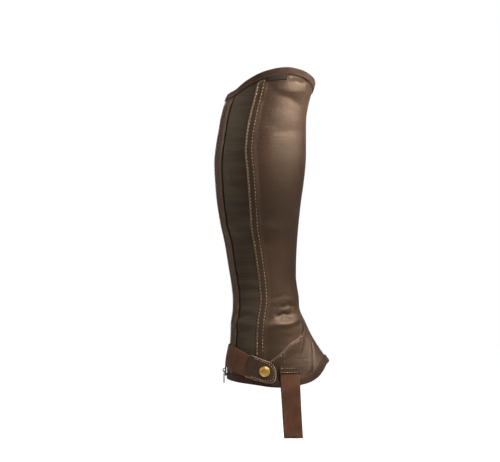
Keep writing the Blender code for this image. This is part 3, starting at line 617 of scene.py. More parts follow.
strip_front = from_back(smooth(BACK_EDGES, LEVELS, 2))
elastic_panel = cloth(
    "elastic_panel_knit",
    sides=(beside(strip_front, -UNDER), beside(elastic_front, UNDER)),
    ends=(lower(top, CLEAR), lower(hem, -CLEAR)),
    grid=(40, 240),
    wall=ELASTIC,
    looks=[elastic_look],
    rise=lambda left, *_: -ELASTIC_SINK - ELASTIC_DIP * near(left, 5, 9),
)
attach(elastic_panel, "chap")
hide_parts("elastic_panel")


# ---- Zip strip ----
# A narrow strip of the same leather that joins the elastic to the zip. Both its long edges are turned under
# and sewn down, one over the elastic and the other over the zip's outer tape.

STRIP_RISE, STRIP_LAP, STRIP_LAP_WIDTH = 0.3, 1.35, (7, 11)


def strip_rise(left, right, high, low, angle, height):
    """It laps over the elastic by a turned edge, rounds off at both rims and is flat under the bindings."""
    free = ramp(high, *UNDER_BINDING) * ramp(low, *UNDER_BINDING)
    rims = rim(left, 1.4, drop=0.5) + rim(right, 1.4, drop=0.5)
    return (STRIP_RISE + STRIP_LAP * near(right, *STRIP_LAP_WIDTH)) * free - rims


zip_strip = cloth(
    "zip_strip_leather",
    sides=(from_zip(ZIP_HALF), strip_front),
    ends=(lower(top, CLEAR), lower(hem, -CLEAR)),
    grid=(24, 220),
    wall=LEATHER,
    looks=[main_leather, lining_look],
    rise=strip_rise,
)
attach(zip_strip, "chap")
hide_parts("zip_strip")


# ---- Zip ----
# A long zip down the middle of the back that opens upwards: two woven tapes sewn under the leather, metal
# teeth clamped to their edges, a box at the top, and a slider at the foot, whose pull ends in a flat grip.

TAPE = 0.9
TAPE_EDGE, TAPE_UNDER = 2.1, 3.0  # from the middle of the zip, and how far it goes on under the leather
TAPE_SINK, TAPE_SLOPE = 0.4, 1.15  # at the teeth, and what it drops further to pass under the leather
ZIP_TOP, ZIP_FOOT = 92.0, -289.0
TEETH_TOP, TEETH_FOOT = 85.0, -281.0
TOOTH_PITCH = 1.35  # between neighbours of the two sides
TOOTH_STAGGER, TOOTH_SINK = 0.8, 0.1  # from the middle to each side's teeth, and into the tape
TOOTH = (
    # along, half width, half height, drop
    (-0.55, 0, 0, 0),
    (-0.5, 1.4, 0.7, 0),
    (0.5, 1.4, 0.7, 0),
    (0.55, 0, 0, 0),
)
TWILL = 1.4332  # between its slanting ribs, coarser than real so that they show
FADE = 16.67  # the size of a faded patch
RUB, CLOUD = 1.4286, 2.381  # the sizes of the nickel's bright rubs and of the gunmetal's clouds
PULL_PIVOT = (-48.7, 0.1, -279.7)
GRIP = (
    # along, half width, half height, drop
    (3.4, 0, 0, 0.25),
    (3.5, 2.3, 0.45, 0.25),
    (4.2, 2.75, 0.75, 0.25),
    (5.4, 2.75, 0.75, 0.25),
    (14.5, 2.15, 0.75, 0.25),
    (16.0, 1.6, 0.7, 0.25),
    (16.7, 0.9, 0.5, 0.25),
    (16.8, 0, 0, 0.25),
)

# Matt woven polyester: slanting twill ribs, slightly faded in patches.
tape_look, tape_shader = finish(
    "woven polyester tape", {"Roughness": 0.88, "Sheen Weight": 0.05, "Specular IOR Level": 0.25}
)
twill_place = node(tape_look, "TexCoord")["UV"]
twill = node(
    tape_look,
    "TexWave",
    {"Vector": twill_place, "Scale": 100 * math.sqrt(2) * math.pi / TWILL, "Distortion": 0.4},
    bands_direction="DIAGONAL",
)[0]
fade_place = node(tape_look, "TexCoord")["Object"]
fade = node(tape_look, "TexNoise", {"Vector": fade_place, "Scale": METRE / FADE, "Detail": 3.0})[0]
tone = node(tape_look, "Math", {0: twill, 1: 0.45, 2: fade}, operation="MULTIPLY_ADD")[0]
tone = node(tape_look, "MapRange", {"Value": tone, "From Min": 0.35, "From Max": 1.05})[0]
dyed = node(tape_look, "Mix", {0: tone, 6: linear("#241812"), 7: linear("#412E23")}, data_type="RGBA")[2]
woven = node(tape_look, "Bump", {"Height": twill, "Strength": 0.5, "Distance": 0.3 * MM})[0]
linked(tape_look, tape_shader, Base_Color=dyed, Normal=woven)


def level(height):
    """A level edge."""
    return lambda angle: height + 0 * angle


def sunk(from_teeth):
    """The tape slopes down from the teeth to pass under the leather."""
    return -TAPE_SINK - TAPE_SLOPE * ramp(from_teeth, 1.6, 4.0)


for name, sides, rise in (
    (
        "zip_tape_outer",
        (from_zip(TAPE_EDGE), from_zip(ZIP_HALF + TAPE_UNDER)),
        lambda left, *_: sunk(left),
    ),
    (
        "zip_tape_inner",
        (from_zip(-ZIP_HALF - TAPE_UNDER), from_zip(-TAPE_EDGE)),
        lambda left, right, *_: sunk(right),
    ),
):
    ends = (level(ZIP_TOP), level(ZIP_FOOT))
    zip_tape = cloth(name + "_woven", sides, ends, (8, 160), TAPE, [tape_look], rise)
    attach(zip_tape, "chap")
    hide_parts(name)


def repeat(name, form, places, axes, look):
    """Copies a closed form to many places, all in one mesh: its points times each place's three axes."""
    points, faces = form
    spots = places[:, None] + np.einsum("pk,nkc->npc", points, axes)
    shifted = [[[corner + n * len(points) for corner in face] for face in faces] for n in range(len(places))]
    mesh = bpy.data.meshes.new(name)
    mesh.from_pydata((spots * MM).reshape(-1, 3), [], [face for copy in shifted for face in copy])
    return put(name, mesh, [look])


def bead(stations, sides, squareness):
    """A closed bead along x: a ring at each station of (x, half width, half height, drop), and two poles."""
    turns = np.arange(sides) / sides * 2 * math.pi + math.pi / sides
    round_it = np.stack([np.cos(turns), np.sin(turns)], axis=-1)
    round_it = np.sign(round_it) * np.abs(round_it) ** squareness
    first, *rings, last = stations
    points = [(first[0], 0.0, first[3])]
    for x, half_width, half_height, drop in rings:
        points += [(x, half_width * c, half_height * s + drop) for c, s in round_it]
    points.append((last[0], 0.0, last[3]))
    sector = [(i, (i + 1) % sides) for i in range(sides)]
    faces = [(0, 1 + j, 1 + i) for i, j in sector]
    for ring in range(len(rings) - 1):
        base = 1 + ring * sides
        faces += [(base + i, base + j, base + sides + j, base + sides + i) for i, j in sector]
    base, end = 1 + (len(rings) - 1) * sides, len(points) - 1
    faces += [(base + i, base + j, end) for i, j in sector]
    return np.array(points), faces


def run_of(points):
    """How far along a row of points each of them is."""
    return np.insert(np.cumsum(np.linalg.norm(np.diff(points, axis=0), axis=-1)), 0, 0)


def along_row(points, normals, pitch):
    """Evenly spaced places on a row, each with the row's direction, the one across it, and the normal."""
    run = run_of(points)
    count = max(1, int(run[-1] / pitch))
    at = (np.arange(count) + 0.5) * run[-1] / count
    place, normal, ahead, back = (
        np.stack([np.interp(where, run, values[:, k]) for k in range(3)], axis=-1)
        for values, where in ((points, at), (normals, at), (points, at + STEP), (points, at - STEP))
    )
    forward = ahead - back
    forward /= np.linalg.norm(forward, axis=-1, keepdims=True)
    across = np.cross(normal, forward)
    across /= np.linalg.norm(across, axis=-1, keepdims=True)
    return place, np.stack([forward, across, np.cross(forward, across)], axis=1)


# Nickel plating, rubbed unevenly bright by the slider.
nickel_look, nickel_shader = finish(
    "plated zip metal", {"Base Color": linear("#8E857A"), "Metallic": 1.0, "Roughness": 0.32}
)
nickel_place = node(nickel_look, "TexCoord")["Object"]
rub = node(nickel_look, "TexNoise", {"Vector": nickel_place, "Scale": METRE / RUB, "Detail": 3.0})[0]
rough = node(nickel_look, "MapRange", {"Value": rub, "To Min": 0.22, "To Max": 0.5})[0]
linked(nickel_look, nickel_shader, Roughness=rough)

heights = np.linspace(TEETH_TOP, TEETH_FOOT, 400)
zip_angle = from_zip(0)(heights)
teeth_line = on_leg(zip_angle, heights, -TOOTH_SINK)
place, axes = along_row(teeth_line, outward(zip_angle, heights), TOOTH_PITCH)
stagger = np.where(np.arange(len(place)) % 2, TOOTH_STAGGER, -TOOTH_STAGGER)
place = place + axes[:, 1] * stagger[:, None]
zip_teeth = repeat("zip_teeth", bead(TOOTH, sides=8, squareness=0.6), place, axes, nickel_look)
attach(zip_teeth, "chap")
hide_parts("zip_chain")

# Die-cast zinc under a dark gunmetal plating, a little uneven in its gloss.
gunmetal_look, gunmetal_shader = finish(
    "gunmetal plated zinc", {"Base Color": linear("#100F0E"), "Metallic": 1.0, "Roughness": 0.45}
)
gunmetal_place = node(gunmetal_look, "TexCoord")["Object"]
rub = node(gunmetal_look, "TexNoise", {"Vector": gunmetal_place, "Scale": METRE / CLOUD, "Detail": 4.0})[0]
rough = node(gunmetal_look, "MapRange", {"Value": rub, "To Min": 0.22, "To Max": 0.5})[0]
cast = node(gunmetal_look, "Bump", {"Height": rub, "Strength": 0.15, "Distance": 0.1 * MM})[0]
linked(gunmetal_look, gunmetal_shader, Roughness=rough, Normal=cast)
for name, look in (("zip_slider", gunmetal_look), ("pull_tab", gunmetal_look), ("zip_top_box", nickel_look)):
    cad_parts[name].material_slots[0].material = look

hanging = np.array([[(0, 0, -1), (0, -1, 0), (-1, 0, 0)]], float)  # down, to the outer side, and back
grip = bead(GRIP, sides=16, squareness=0.6)
pull_grip = repeat("pull_grip", grip, np.array([PULL_PIVOT]), hanging, gunmetal_look)
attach(pull_grip, "pull")


# ---- Instep tongue and gussets ----
# Cut from the same leather. The tongue covers the front of the ankle and has a gusset at each side. The
# gussets are lapped over the leg's leather and over the tongue, and stitched through close to their edges.

TONGUE_SIDE = (
    # height, angle
    (-170.0, 7.5),
    (-184.5, 8.5),
    (-197.0, 9.5),
    (-207.0, 10.5),
    (-217.0, 13.0),
    (-231.0, 20.0),
    (-245.0, 30.0),
    (-261.0, 43.0),
    (-275.0, 52.0),
    (-297.0, 61.0),
)
TONGUE_UNDER = 4.0  # how far the tongue goes on under the gussets and the leg's leather
INNER_REAR = -131.0
SIDE_DIP, POINT_DIP = 0.75, 1.0  # the tongue under the gussets, and under the leg's leather
GUSSET_OVER, FRONT_OVER = 1.1, 0.75  # the gussets over the leg's leather, and over the tongue
GUSSET_REST = 0.05
GUSSET_ROW, GUSSET_ROW_DEPTH = 2.3, 0.22  # the stitches, from the gusset's edge, and their groove
TUCK = (4, 8)  # from an edge: where leather comes out from under the lap over it
SEAM_SHADE = (4.8, 6.4)  # from an edge: where the painted shade in a seam ends

tongue_edge = track(smooth(TONGUE_SIDE, LEVELS))


def mirrored(line):
    return lambda height: -line(height)


def tongue_rise(left, right, high, low, angle, height):
    """Its sides dip under the gussets and its point dips under the leg's leather."""
    side = np.minimum(left, right)
    return -SIDE_DIP * near(side, 4.5, 8) - POINT_DIP * near(high, *TUCK) * ramp(side, 4.5, 8)


def gusset_rise(left, right, high, low, angle, height):
    """Its edges stand on what they are sewn to, but near the shin it dips under the leg's leather."""
    front, rear = (right, left) if angle.mean() > 0 else (left, right)
    shin = by_shin(angle)
    over = GUSSET_OVER * near(high, 4, 17) * (1 - shin) - POINT_DIP * near(high, *TUCK) * shin
    over = np.maximum(over, FRONT_OVER * near(front, 4, 15) * near(height, -215, -200))
    upper_row, front_row = (groove(edge, GUSSET_ROW, GUSSET_ROW_DEPTH) for edge in (high, front))
    rims = rim(high) * (1 - shin) + rim(front) + rim(rear)
    rows = upper_row * (1 - shin) + front_row
    return (over - rows) * ramp(low, *UNDER_BINDING) + GUSSET_REST - rims


def gusset_rub_highlight_and_shade(left, right, high, low, angle, height):
    """Pale along the laps, partly real rubbing and partly a painted highlight, and painted shade in the seam
    under the leg's leather.
    """
    front = right if angle.mean() > 0 else left
    shin = by_shin(angle)
    laps = np.maximum(RUB_HIGHLIGHT * near(high, 0.4, 1.4) * (1 - shin), 0.3 * near(front, 0.3, 1.0))
    return laps - near(high, *SEAM_SHADE) * shin


tongue_side = beside(tongue_edge, -TONGUE_UNDER)
tongue = cloth(
    "tongue_leather",
    sides=(tongue_side, mirrored(tongue_side)),
    ends=(lower(instep_seam, -TONGUE_UNDER), lower(hem, -CLEAR)),
    grid=(60, 90),
    wall=LEATHER,
    looks=[main_leather, lining_look],
    rise=tongue_rise,
    # Painted shade in the seam along its top edge, under the leg's leather.
    rub_highlight_and_shade=lambda left, right, high, *_: -near(high, *SEAM_SHADE),
)
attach(tongue, "chap")
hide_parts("tongue")

for side, sides, width, area in (
    ("outer", (beside(elastic_front, -3.0), tongue_edge), 0.09, 0.0044),
    ("inner", (mirrored(tongue_edge), track(np.full(LEVELS.shape, INNER_REAR))), 0.10, 0.0057),
):
    gusset = cloth(
        f"gusset_{side}_leather",
        sides=sides,
        ends=(lambda angle: instep_seam(angle) + TONGUE_UNDER * by_shin(angle), lower(hem, -CLEAR)),
        grid=(80, 90),
        wall=LEATHER,
        looks=[main_leather, lining_look],
        rise=gusset_rise,
        rub_highlight_and_shade=gusset_rub_highlight_and_shade,
    )
    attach(gusset, "chap")
    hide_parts(f"gusset_{side}")


# ---- Bindings ----
# Woven tape folded over the raw edges at the top and the hem, from one side of the zip round to the other. It
# is stitched through both its layers, close to their edges.

BINDING_WIDTH = 8.0
HOOK = (
    # out, depth: the tape's section, from the foot of its outer face over the edge to that of its inner face
    (1.05, 8.2),
    (1.4, 7.4),
    (1.5, 6.0),
    (1.5, 3.0),
    (1.45, 1.0),
    (1.25, -0.4),
    (0.7, -1.2),
    (-0.2, -1.55),
    (-1.5, -1.5),
    (-2.4, -1.1),
    (-2.85, -0.3),
    (-3.0, 1.0),
    (-3.0, 4.0),
    (-2.9, 7.0),
    (-2.6, 8.0),
)
HOOK_STEP = 1.6  # about how far apart the hook's points are


def steps_along(angle, height, direction):
    """The angle and height that a millimetre in a direction on the surface takes, by least squares in 3D."""
    turn = (skin(angle + STEP, height) - skin(angle - STEP, height)) / (2 * STEP)
    rise = (skin(angle, height + STEP) - skin(angle, height - STEP)) / (2 * STEP)
    tt, tr, rr = (np.sum(a * b, axis=-1) for a, b in ((turn, turn), (turn, rise), (rise, rise)))
    td, rd = np.sum(turn * direction, axis=-1), np.sum(rise * direction, axis=-1)
    return (td * rr - rd * tr) / (tt * rr - tr**2), (rd * tt - td * tr) / (tt * rr - tr**2)


def off_edge(edge, angle, depth, out):
    """Points at a depth below an edge, square to it, and their normals. A negative depth is above it."""
    height = edge(angle)
    run = on_leg(angle - 0.5, edge(angle - 0.5)) - on_leg(angle + 0.5, edge(angle + 0.5))
    down = np.cross(run, outward(angle, height))
    down /= np.linalg.norm(down, axis=-1, keepdims=True)
    turn, rise = steps_along(angle, height, down)
    angle, height = angle + turn * depth, height + rise * depth
    return on_leg(angle, height, out), outward(angle, height)


def binding(name, edge, first, last, columns, away):
    """Carries the hook along an edge. The feet of its two faces wave a little, as those of sewn tape do."""
    hook = np.array(HOOK) if away < 0 else np.array(HOOK)[::-1]
    out, depth = hook[:, 0], hook[:, 1]
    angle = np.linspace(first, last, columns + 1)[:, None] + 0 * out
    wave = 0.12 * np.sin(angle * 1.7) + 0.08 * np.sin(angle * 4.1)
    points, _ = off_edge(edge, angle, (depth + wave * (depth > 5)) * away, out + 0 * angle)
    across = np.cumsum(np.full(len(hook), HOOK_STEP))
    uv = np.stack(np.broadcast_arrays(run_of(points[:, 3])[:, None], across), axis=-1)
    made = fill(name, points, [tape_look], uv=uv)
    give_wall(made, TAPE, even=True)
    return made


for name, edge, height_by_zip, away, length in (
    ("top_binding", top, 97.0, 1, 0.345),
    ("hem_binding", hem, -290.0, -1, 0.36),
):
    first = float(from_zip(ZIP_HALF)(height_by_zip))
    last = float(from_zip(-ZIP_HALF)(height_by_zip)) - 360
    bound = binding(name + "_tape", edge, first, last, columns=260, away=away)
    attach(bound, "chap")
    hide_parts(name)


# ---- Label ----
# A plain label of damask-woven polyester on the outer side. Its upper edge is caught under the top binding,
# and its other edges are turned under.

LABEL_REAR, LABEL_FRONT = 101.0, 72.0  # angles
LABEL_DEPTH, LABEL_WALL, LABEL_OUT = 7.6, 0.8, 1.35
LABEL_THREAD = 0.952  # between its threads, coarser than real so that they show

# Nearly black, with fine upright threads and a faint shine.
label_look, label_shader = finish("damask label", {"Roughness": 0.7, "Specular IOR Level": 0.3})
label_place = node(label_look, "TexCoord")["UV"]
threads = node(
    label_look, "TexWave", {"Vector": label_place, "Scale": 100 * math.pi / LABEL_THREAD}, bands_direction="X"
)[0]
tone = node(label_look, "MapRange", {"Value": threads})[0]
dyed = node(label_look, "Mix", {0: tone, 6: linear("#17110D"), 7: linear("#261C16")}, data_type="RGBA")[2]
woven = node(label_look, "Bump", {"Height": threads, "Strength": 0.4, "Distance": 0.2 * MM})[0]
linked(label_look, label_shader, Base_Color=dyed, Normal=woven)
label = cloth(
    "label_woven",
    sides=(track(np.full(LEVELS.shape, LABEL_REAR)), track(np.full(LEVELS.shape, LABEL_FRONT))),
    ends=(lower(top, BINDING_WIDTH), lower(top, BINDING_WIDTH + LABEL_DEPTH)),
    grid=(40, 12),
    wall=LABEL_WALL,
    looks=[label_look],
    rise=lambda left, right, high, low, *_: LABEL_OUT - rim(left, 0.9) - rim(right, 0.9) - rim(low, 0.9),
)
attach(label, "chap")
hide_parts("label")


# ---- Ankle strap ----
# Wide elastic webbing round the heel side of the ankle keeps the zip closed. It is sewn on behind the inner
# gusset, and its other end is sewn into the snap tab on the outer one.

STRAP_LINE = (
    # angle, height
    (60.0, -306.0),
    (98.0, -287.5),
    (109.0, -281.5),
    (126.0, -274.0),
    (150.0, -264.0),
    (180.0, -259.5),
    (210.0, -260.5),
    (249.0, -264.0),
    (270.0, -267.0),
)
STRAP_WIDTH = 30.5
STRAP_LIFT = 0.9  # the webbing's middle over the line that it follows
STRAP_FIRST, STRAP_LAST = 248.5, 122.0  # angles, from the inner gusset to under the tab
STRAP_OUT, STRAP_SINK = 3.2, 1.4  # off the leg, and what it sinks by towards its sewn end
STRAP_HUG = 0.9  # how far its upper edge leans in at the back
MM_A_DEGREE = 0.8  # how far it runs in a degree
WEBBING = 1.3
WEB_CORD, WEB_PICK = 1.848, 1.309  # between its cords and between its weft threads, coarser than real
WEB_FADE = 22.22  # the size of a faded patch

# Matt red-brown elastic webbing: a coarse square weave of cords and weft, faded in patches.
webbing_look, webbing_shader = finish(
    "woven elastic webbing", {"Roughness": 0.85, "Sheen Weight": 0.08, "Specular IOR Level": 0.25}
)
web_place = node(webbing_look, "TexCoord")["UV"]
cords, picks = (
    node(
        webbing_look,
        "TexWave",
        {"Vector": web_place, "Scale": 100 * math.pi / spacing, "Distortion": distortion},
        bands_direction=direction,
    )[0]
    for spacing, distortion, direction in ((WEB_CORD, 0.3, "X"), (WEB_PICK, 0.5, "Y"))
)
fade = node(webbing_look, "TexNoise", {"Vector": web_place, "Scale": METRE / WEB_FADE, "Detail": 4.0})[0]
weave = node(webbing_look, "Math", {0: cords, 1: 0.6, 2: picks}, operation="MULTIPLY_ADD")[0]
tone = node(webbing_look, "Math", {0: weave, 1: 0.35, 2: fade}, operation="MULTIPLY_ADD")[0]
tone = node(webbing_look, "MapRange", {"Value": tone, "From Min": 0.4, "From Max": 1.1})[0]
dyed = node(webbing_look, "Mix", {0: tone, 6: linear("#392318"), 7: linear("#62402C")}, data_type="RGBA")[2]
woven = node(webbing_look, "Bump", {"Height": weave, "Strength": 0.6, "Distance": 0.4 * MM})[0]
linked(webbing_look, webbing_shader, Base_Color=dyed, Normal=woven)


def strap_line(angle):
    return smooth(STRAP_LINE, angle)


def strap_place(angle, over):
    """A place beside the strap's middle line, square to it, as angle and height."""
    height = strap_line(angle)
    reach = np.linalg.norm(skin(angle + 0.5, height) - skin(angle - 0.5, height), axis=-1)
    lean = np.arctan((strap_line(angle + 1) - strap_line(angle - 1)) / 2 / reach)
    return angle - over * np.sin(lean) / reach, height + over * np.cos(lean)


def band(name, points, uv, wall, look, rub_highlight_and_shade=None):
    """A strap: a grid of points with an even wall."""
    made = fill(name, points, [look], uv=uv, rub_highlight_and_shade=rub_highlight_and_shade)
    give_wall(made, wall, even=True)
    return made


angle, down = np.meshgrid(np.linspace(STRAP_FIRST, STRAP_LAST, 150), np.linspace(0, 1, 21), indexing="ij")
place = strap_place(angle, STRAP_WIDTH * (0.5 - down) + STRAP_LIFT)
selvedge = 0.35 * (np.abs(down - 0.5) * 2) ** 12
ripple = 0.12 * np.sin(angle * 0.9 + 3 * down) * np.sin(math.pi * down)
hug = STRAP_HUG * (1 - down) ** 2 * np.exp(-(((angle - 180) / 22) ** 2))
out = STRAP_OUT - STRAP_SINK * np.clip((angle - 190) / 40, 0, 1) - selvedge + ripple - hug
uv = np.stack([STRAP_WIDTH * down, (STRAP_FIRST - angle) * MM_A_DEGREE], axis=-1)
ankle_strap = band("ankle_strap_webbing", on_leg(*place, out), uv, WEBBING, webbing_look)
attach(ankle_strap, "chap")
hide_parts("ankle_strap")


# ---- Snap tab ----
# Two layers of the same leather, rounded at the free end and stitched round the border. It closes the ankle
# strap over the outer gusset.

TAB_WIDTH, TAB_LIFT = 31.5, 1.9
TAB_LENGTH, TAB_ROUND, TAB_OUT, TAB_WALL = 41.0, 17.0, 5.6, 1.8
TAB_SQUARE = 2.4  # the power of the curve at its end: 2 is an ellipse, and more is squarer
TAB_ROW = 3.0  # the stitches, from the tab's edge
TAB_SEAM = 9.5  # the fold beside the webbing's end, from the tab's rear edge

angles = np.linspace(127.0, 60.0, 400)
tab_run = run_of(on_leg(angles, strap_line(angles)))


def on_tab(along, over, out):
    """A place on the tab, along its middle line and over it in millimetres, and its normal."""
    place = strap_place(np.interp(along, tab_run, angles), over + TAB_LIFT)
    return on_leg(*place, out), outward(*place)


def tab_end(over):
    """How long the tab is at a share of its half width: a squared-off half ellipse."""
    return TAB_LENGTH - TAB_ROUND + TAB_ROUND * (1 - np.abs(over) ** TAB_SQUARE).clip(0) ** (1 / TAB_SQUARE)


across, over = np.meshgrid(
    np.linspace(0, 1, 61) ** 0.9, np.sin(np.linspace(math.pi / 2, -math.pi / 2, 49)), indexing="ij"
)
along = across * tab_end(over)
side = np.minimum((1 - np.abs(over)) * TAB_WIDTH / 2, (tab_end(over) - along) * 0.9)
back_too = np.minimum(side, along + 0.2)
bulge = 0.35 * near(back_too, 1.6, 2.6) - groove(side, TAB_ROW, 0.3, 0.7)
bulge = bulge + 0.5 * near(along, 6.5, 9.0) - groove(along, TAB_SEAM, 0.25, 1.2)
points, _ = on_tab(along, over * TAB_WIDTH / 2, TAB_OUT - rim(back_too, 1.3) + bulge)
uv = np.stack([along, over * TAB_WIDTH / 2], axis=-1)
# Its side and end edges are painted pale, partly real rubbing and partly a painted highlight, and its rear
# edge dark with painted shade.
tab_rub_highlight_and_shade = near(side, 0.5, 1.3) * ramp(along, 1.0, 2.0) - 0.9 * near(along, 0.8, 1.8)
snap_tab = band("snap_tab_leather", points, uv, TAB_WALL, main_leather, rub_highlight_and_shade=tab_rub_highlight_and_shade)
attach(snap_tab, "chap")
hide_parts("snap_tab")


# ---- Snap ----
# A stamped brass cap with a groove and a rolled rim, clenched through the tab onto the socket under it.

SNAP_RADIUS, SNAP_FROM_END = 7.3, 16.5
HAZE = 3.3333  # the size of a cloud on the brass
SNAP = (
    # from the middle, out: a dome, a groove, a rolled rim and a flat back
    (0.0, 2.35),
    (1.6, 2.33),
    (3.2, 2.22),
    (4.4, 2.02),
    (5.1, 1.8),
    (5.35, 1.5),
    (5.6, 1.5),
    (5.85, 1.78),
    (6.4, 1.72),
    (6.9, 1.4),
    (7.2, 0.9),
    (SNAP_RADIUS, 0.4),
    (7.1, 0.0),
    (4.0, 0.0),
    (0.0, 0.0),
)

# Satin, lacquered brass, faintly clouded.
brass_look, brass_shader = finish(
    "stamped brass", {"Base Color": linear("#C79A45"), "Metallic": 1.0, "Roughness": 0.38}
)
brass_place = node(brass_look, "TexCoord")["Object"]
haze = node(brass_look, "TexNoise", {"Vector": brass_place, "Scale": METRE / HAZE, "Detail": 5.0})[0]
rough = node(brass_look, "MapRange", {"Value": haze, "To Min": 0.3, "To Max": 0.5})[0]
tarnish = node(brass_look, "Mix", {0: haze, 6: linear("#C79A48"), 7: linear("#EBC97A")}, data_type="RGBA")[2]
linked(brass_look, brass_shader, Roughness=rough, Base_Color=tarnish)

snap_from_rear = np.array([TAB_LENGTH - SNAP_FROM_END])
(snap_place,), (snap_normal,) = on_tab(snap_from_rear, np.array([0.0]), TAB_OUT + 0.25)
up = np.array([0.0, 0.0, 1.0]) - snap_normal[2] * snap_normal
up /= np.linalg.norm(up)
turns = np.arange(64) / 64 * 2 * math.pi
spoke = np.cos(turns)[:, None] * np.cross(up, snap_normal) + np.sin(turns)[:, None] * up
profile = np.array(SNAP)
points = snap_place + spoke[:, None] * profile[:, :1] + snap_normal * profile[:, 1:]
snap_cap = fill("snap_cap_brass", points, [brass_look], closed_across=True)
poles = bmesh.new()
poles.from_mesh(snap_cap.data)
bmesh.ops.remove_doubles(poles, verts=poles.verts[:], dist=1e-6)
bmesh.ops.recalc_face_normals(poles, faces=poles.faces[:])
poles.to_mesh(snap_cap.data)
poles.free()
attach(snap_cap, "chap")
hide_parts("snap_cap")
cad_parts["snap_socket"].material_slots[0].material = brass_look


# ---- Stirrup strap ----
# A loop of elastic webbing that hangs below the hem and keeps the chap from riding up. Each end is sewn to a
# gusset under a fold of woven tape.

STIRRUP_WIDTH = 26.0
STIRRUP_HEAD_AT, STIRRUP_SOLE_AT = 39.2, 45.5  # how far forward its middle is at its head and at its lowest
STIRRUP_HEAD, STIRRUP_LEAVES, STIRRUP_BEND = -273.5, -305.0, -340.0
STIRRUP_OUT, STIRRUP_CORNER = 3.2, 7.0
SOLE_LEVEL, SOLE_HALF = -371.0, 33.0
CAP_WIDTH, CAP_DEPTH, CAP_OUT, CAP_RIM = 27.0, 10.0, 1.35, 1.0


def stirrup_middle(height):
    """How far forward the strap's middle is: it slants evenly from its head to its lowest."""
    part = np.clip((height - STIRRUP_HEAD) / (SOLE_LEVEL - STIRRUP_HEAD), 0, 1)
    return STIRRUP_HEAD_AT + (STIRRUP_SOLE_AT - STIRRUP_HEAD_AT) * part


# Half the strap's path, as sideways and height: flat at its lowest, round a corner and up to its free bend.
# From there it closes in on the gusset, and above the hem it lies on it.
corner = [
    (SOLE_HALF - STIRRUP_CORNER * (1 - math.sin(t)), SOLE_LEVEL + STIRRUP_CORNER * (1 - math.cos(t)))
    for t in np.radians(np.linspace(0, 90, 9))
]
flat_run = [(0.0, SOLE_LEVEL), (13.0, SOLE_LEVEL)]
rising = [(SOLE_HALF + 1.1, -352.0), (SOLE_HALF + 2.2, STIRRUP_BEND)]
free = np.array([*flat_run, *corner, *rising])
knots = np.concatenate([free[:, 1], np.linspace(STIRRUP_LEAVES, STIRRUP_HEAD, 14)])
bend, head = len(free) - 1, len(knots) - 1
stretches = ((0, bend, 40), (bend, bend + 1, 16), (bend + 1, head, 40))
place = np.unique(np.concatenate([np.linspace(*stretch) for stretch in stretches]))
place = np.concatenate([-place[:0:-1], place])
across, along = np.meshgrid(np.linspace(0, 1, 21), place, indexing="ij")
side, along = np.where(along < 0, -1.0, 1.0), np.abs(along)
height = np.interp(along, np.arange(head + 1), knots)
forward = stirrup_middle(height) + STIRRUP_WIDTH * (across - 0.5)
sewn = np.clip(along - bend, 0, 1)
over_hem = np.maximum(height, STIRRUP_LEAVES)
selvedge = 0.3 * (np.abs(across - 0.5) * 2) ** 12
on_gusset = on_leg(angle_seen_at(forward, over_hem), over_hem, STIRRUP_OUT - selvedge)
x = np.where(sewn > 0, on_gusset[..., 0] * sewn + forward * (1 - sewn), forward)
sideways = -on_gusset[..., 1] * sewn + (1 - sewn) * np.interp(along, np.arange(bend + 1), free[:, 0])
points = np.stack([x, sideways * side, height], axis=-1)
uv = np.stack(np.broadcast_arrays(STIRRUP_WIDTH * across, run_of(points[10])), axis=-1)
stirrup = band("stirrup_webbing", points, uv, WEBBING, webbing_look)
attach(stirrup, "chap")
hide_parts("stirrup_strap")

for name, side in (("stirrup_cap_outer", 1), ("stirrup_cap_inner", -1)):
    across, down = np.meshgrid(np.linspace(0, 1, 41), np.linspace(0, 1, 21), indexing="ij")
    height = STIRRUP_HEAD + 0.8 - CAP_DEPTH * down
    forward = stirrup_middle(height) + CAP_WIDTH * (across - 0.5) * side
    from_side = CAP_WIDTH * np.minimum(across, 1 - across)
    rounded = sum(rim(edge, CAP_RIM) for edge in (from_side, CAP_DEPTH * down, CAP_DEPTH * (1 - down)))
    points = on_leg(side * angle_seen_at(forward, height), height, STIRRUP_OUT + CAP_OUT - rounded)
    uv = np.stack([CAP_WIDTH * across, CAP_DEPTH * down], axis=-1)
    cap = band(name + "_tape", points, uv, TAPE, tape_look)
    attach(cap, "chap")
    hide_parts(name)


# ---- Stitches ----
# Bonded nylon thread, tan where it is meant to show and brown along the strip, the tongue and the bindings,
# at five to eight stitches to the inch. Each stitch is a bead that lies in the groove that it pulls.

STITCH_PITCH = 4.6
TWIST = 3.846  # the size of a lighter or darker stretch of thread
STITCH = (
    # along, half width, half height, drop
    (-1.55, 0, 0, -0.4),
    (-1.35, 0.35, 0.22, -0.3),
    (-0.7, 0.52, 0.38, 0),
    (0.7, 0.52, 0.38, 0),
    (1.35, 0.35, 0.22, -0.3),
    (1.55, 0, 0, -0.4),
)


def bonded_thread(name, dark, light):
    """Waxed, twisted nylon: a half-gloss whose tone wanders a little along the row."""
    look, shader = finish(name, {"Roughness": 0.55, "Sheen Weight": 0.1})
    thread_place = node(look, "TexCoord")["Object"]
    twist = node(look, "TexNoise", {"Vector": thread_place, "Scale": METRE / TWIST, "Detail": 2.0})[0]
    twist = node(look, "MapRange", {"Value": twist, "From Min": 0.35, "From Max": 0.65})[0]
    dyed = node(look, "Mix", {0: twist, 6: linear(dark), 7: linear(light)}, data_type="RGBA")[2]
    linked(look, shader, Base_Color=dyed)
    return look


tan_thread = bonded_thread("tan bonded nylon thread", "#6C5949", "#A99480")
brown_thread = bonded_thread("brown bonded nylon thread", "#2E1F17", "#5C4636")
stitch = bead(STITCH, sides=6, squareness=1.0)


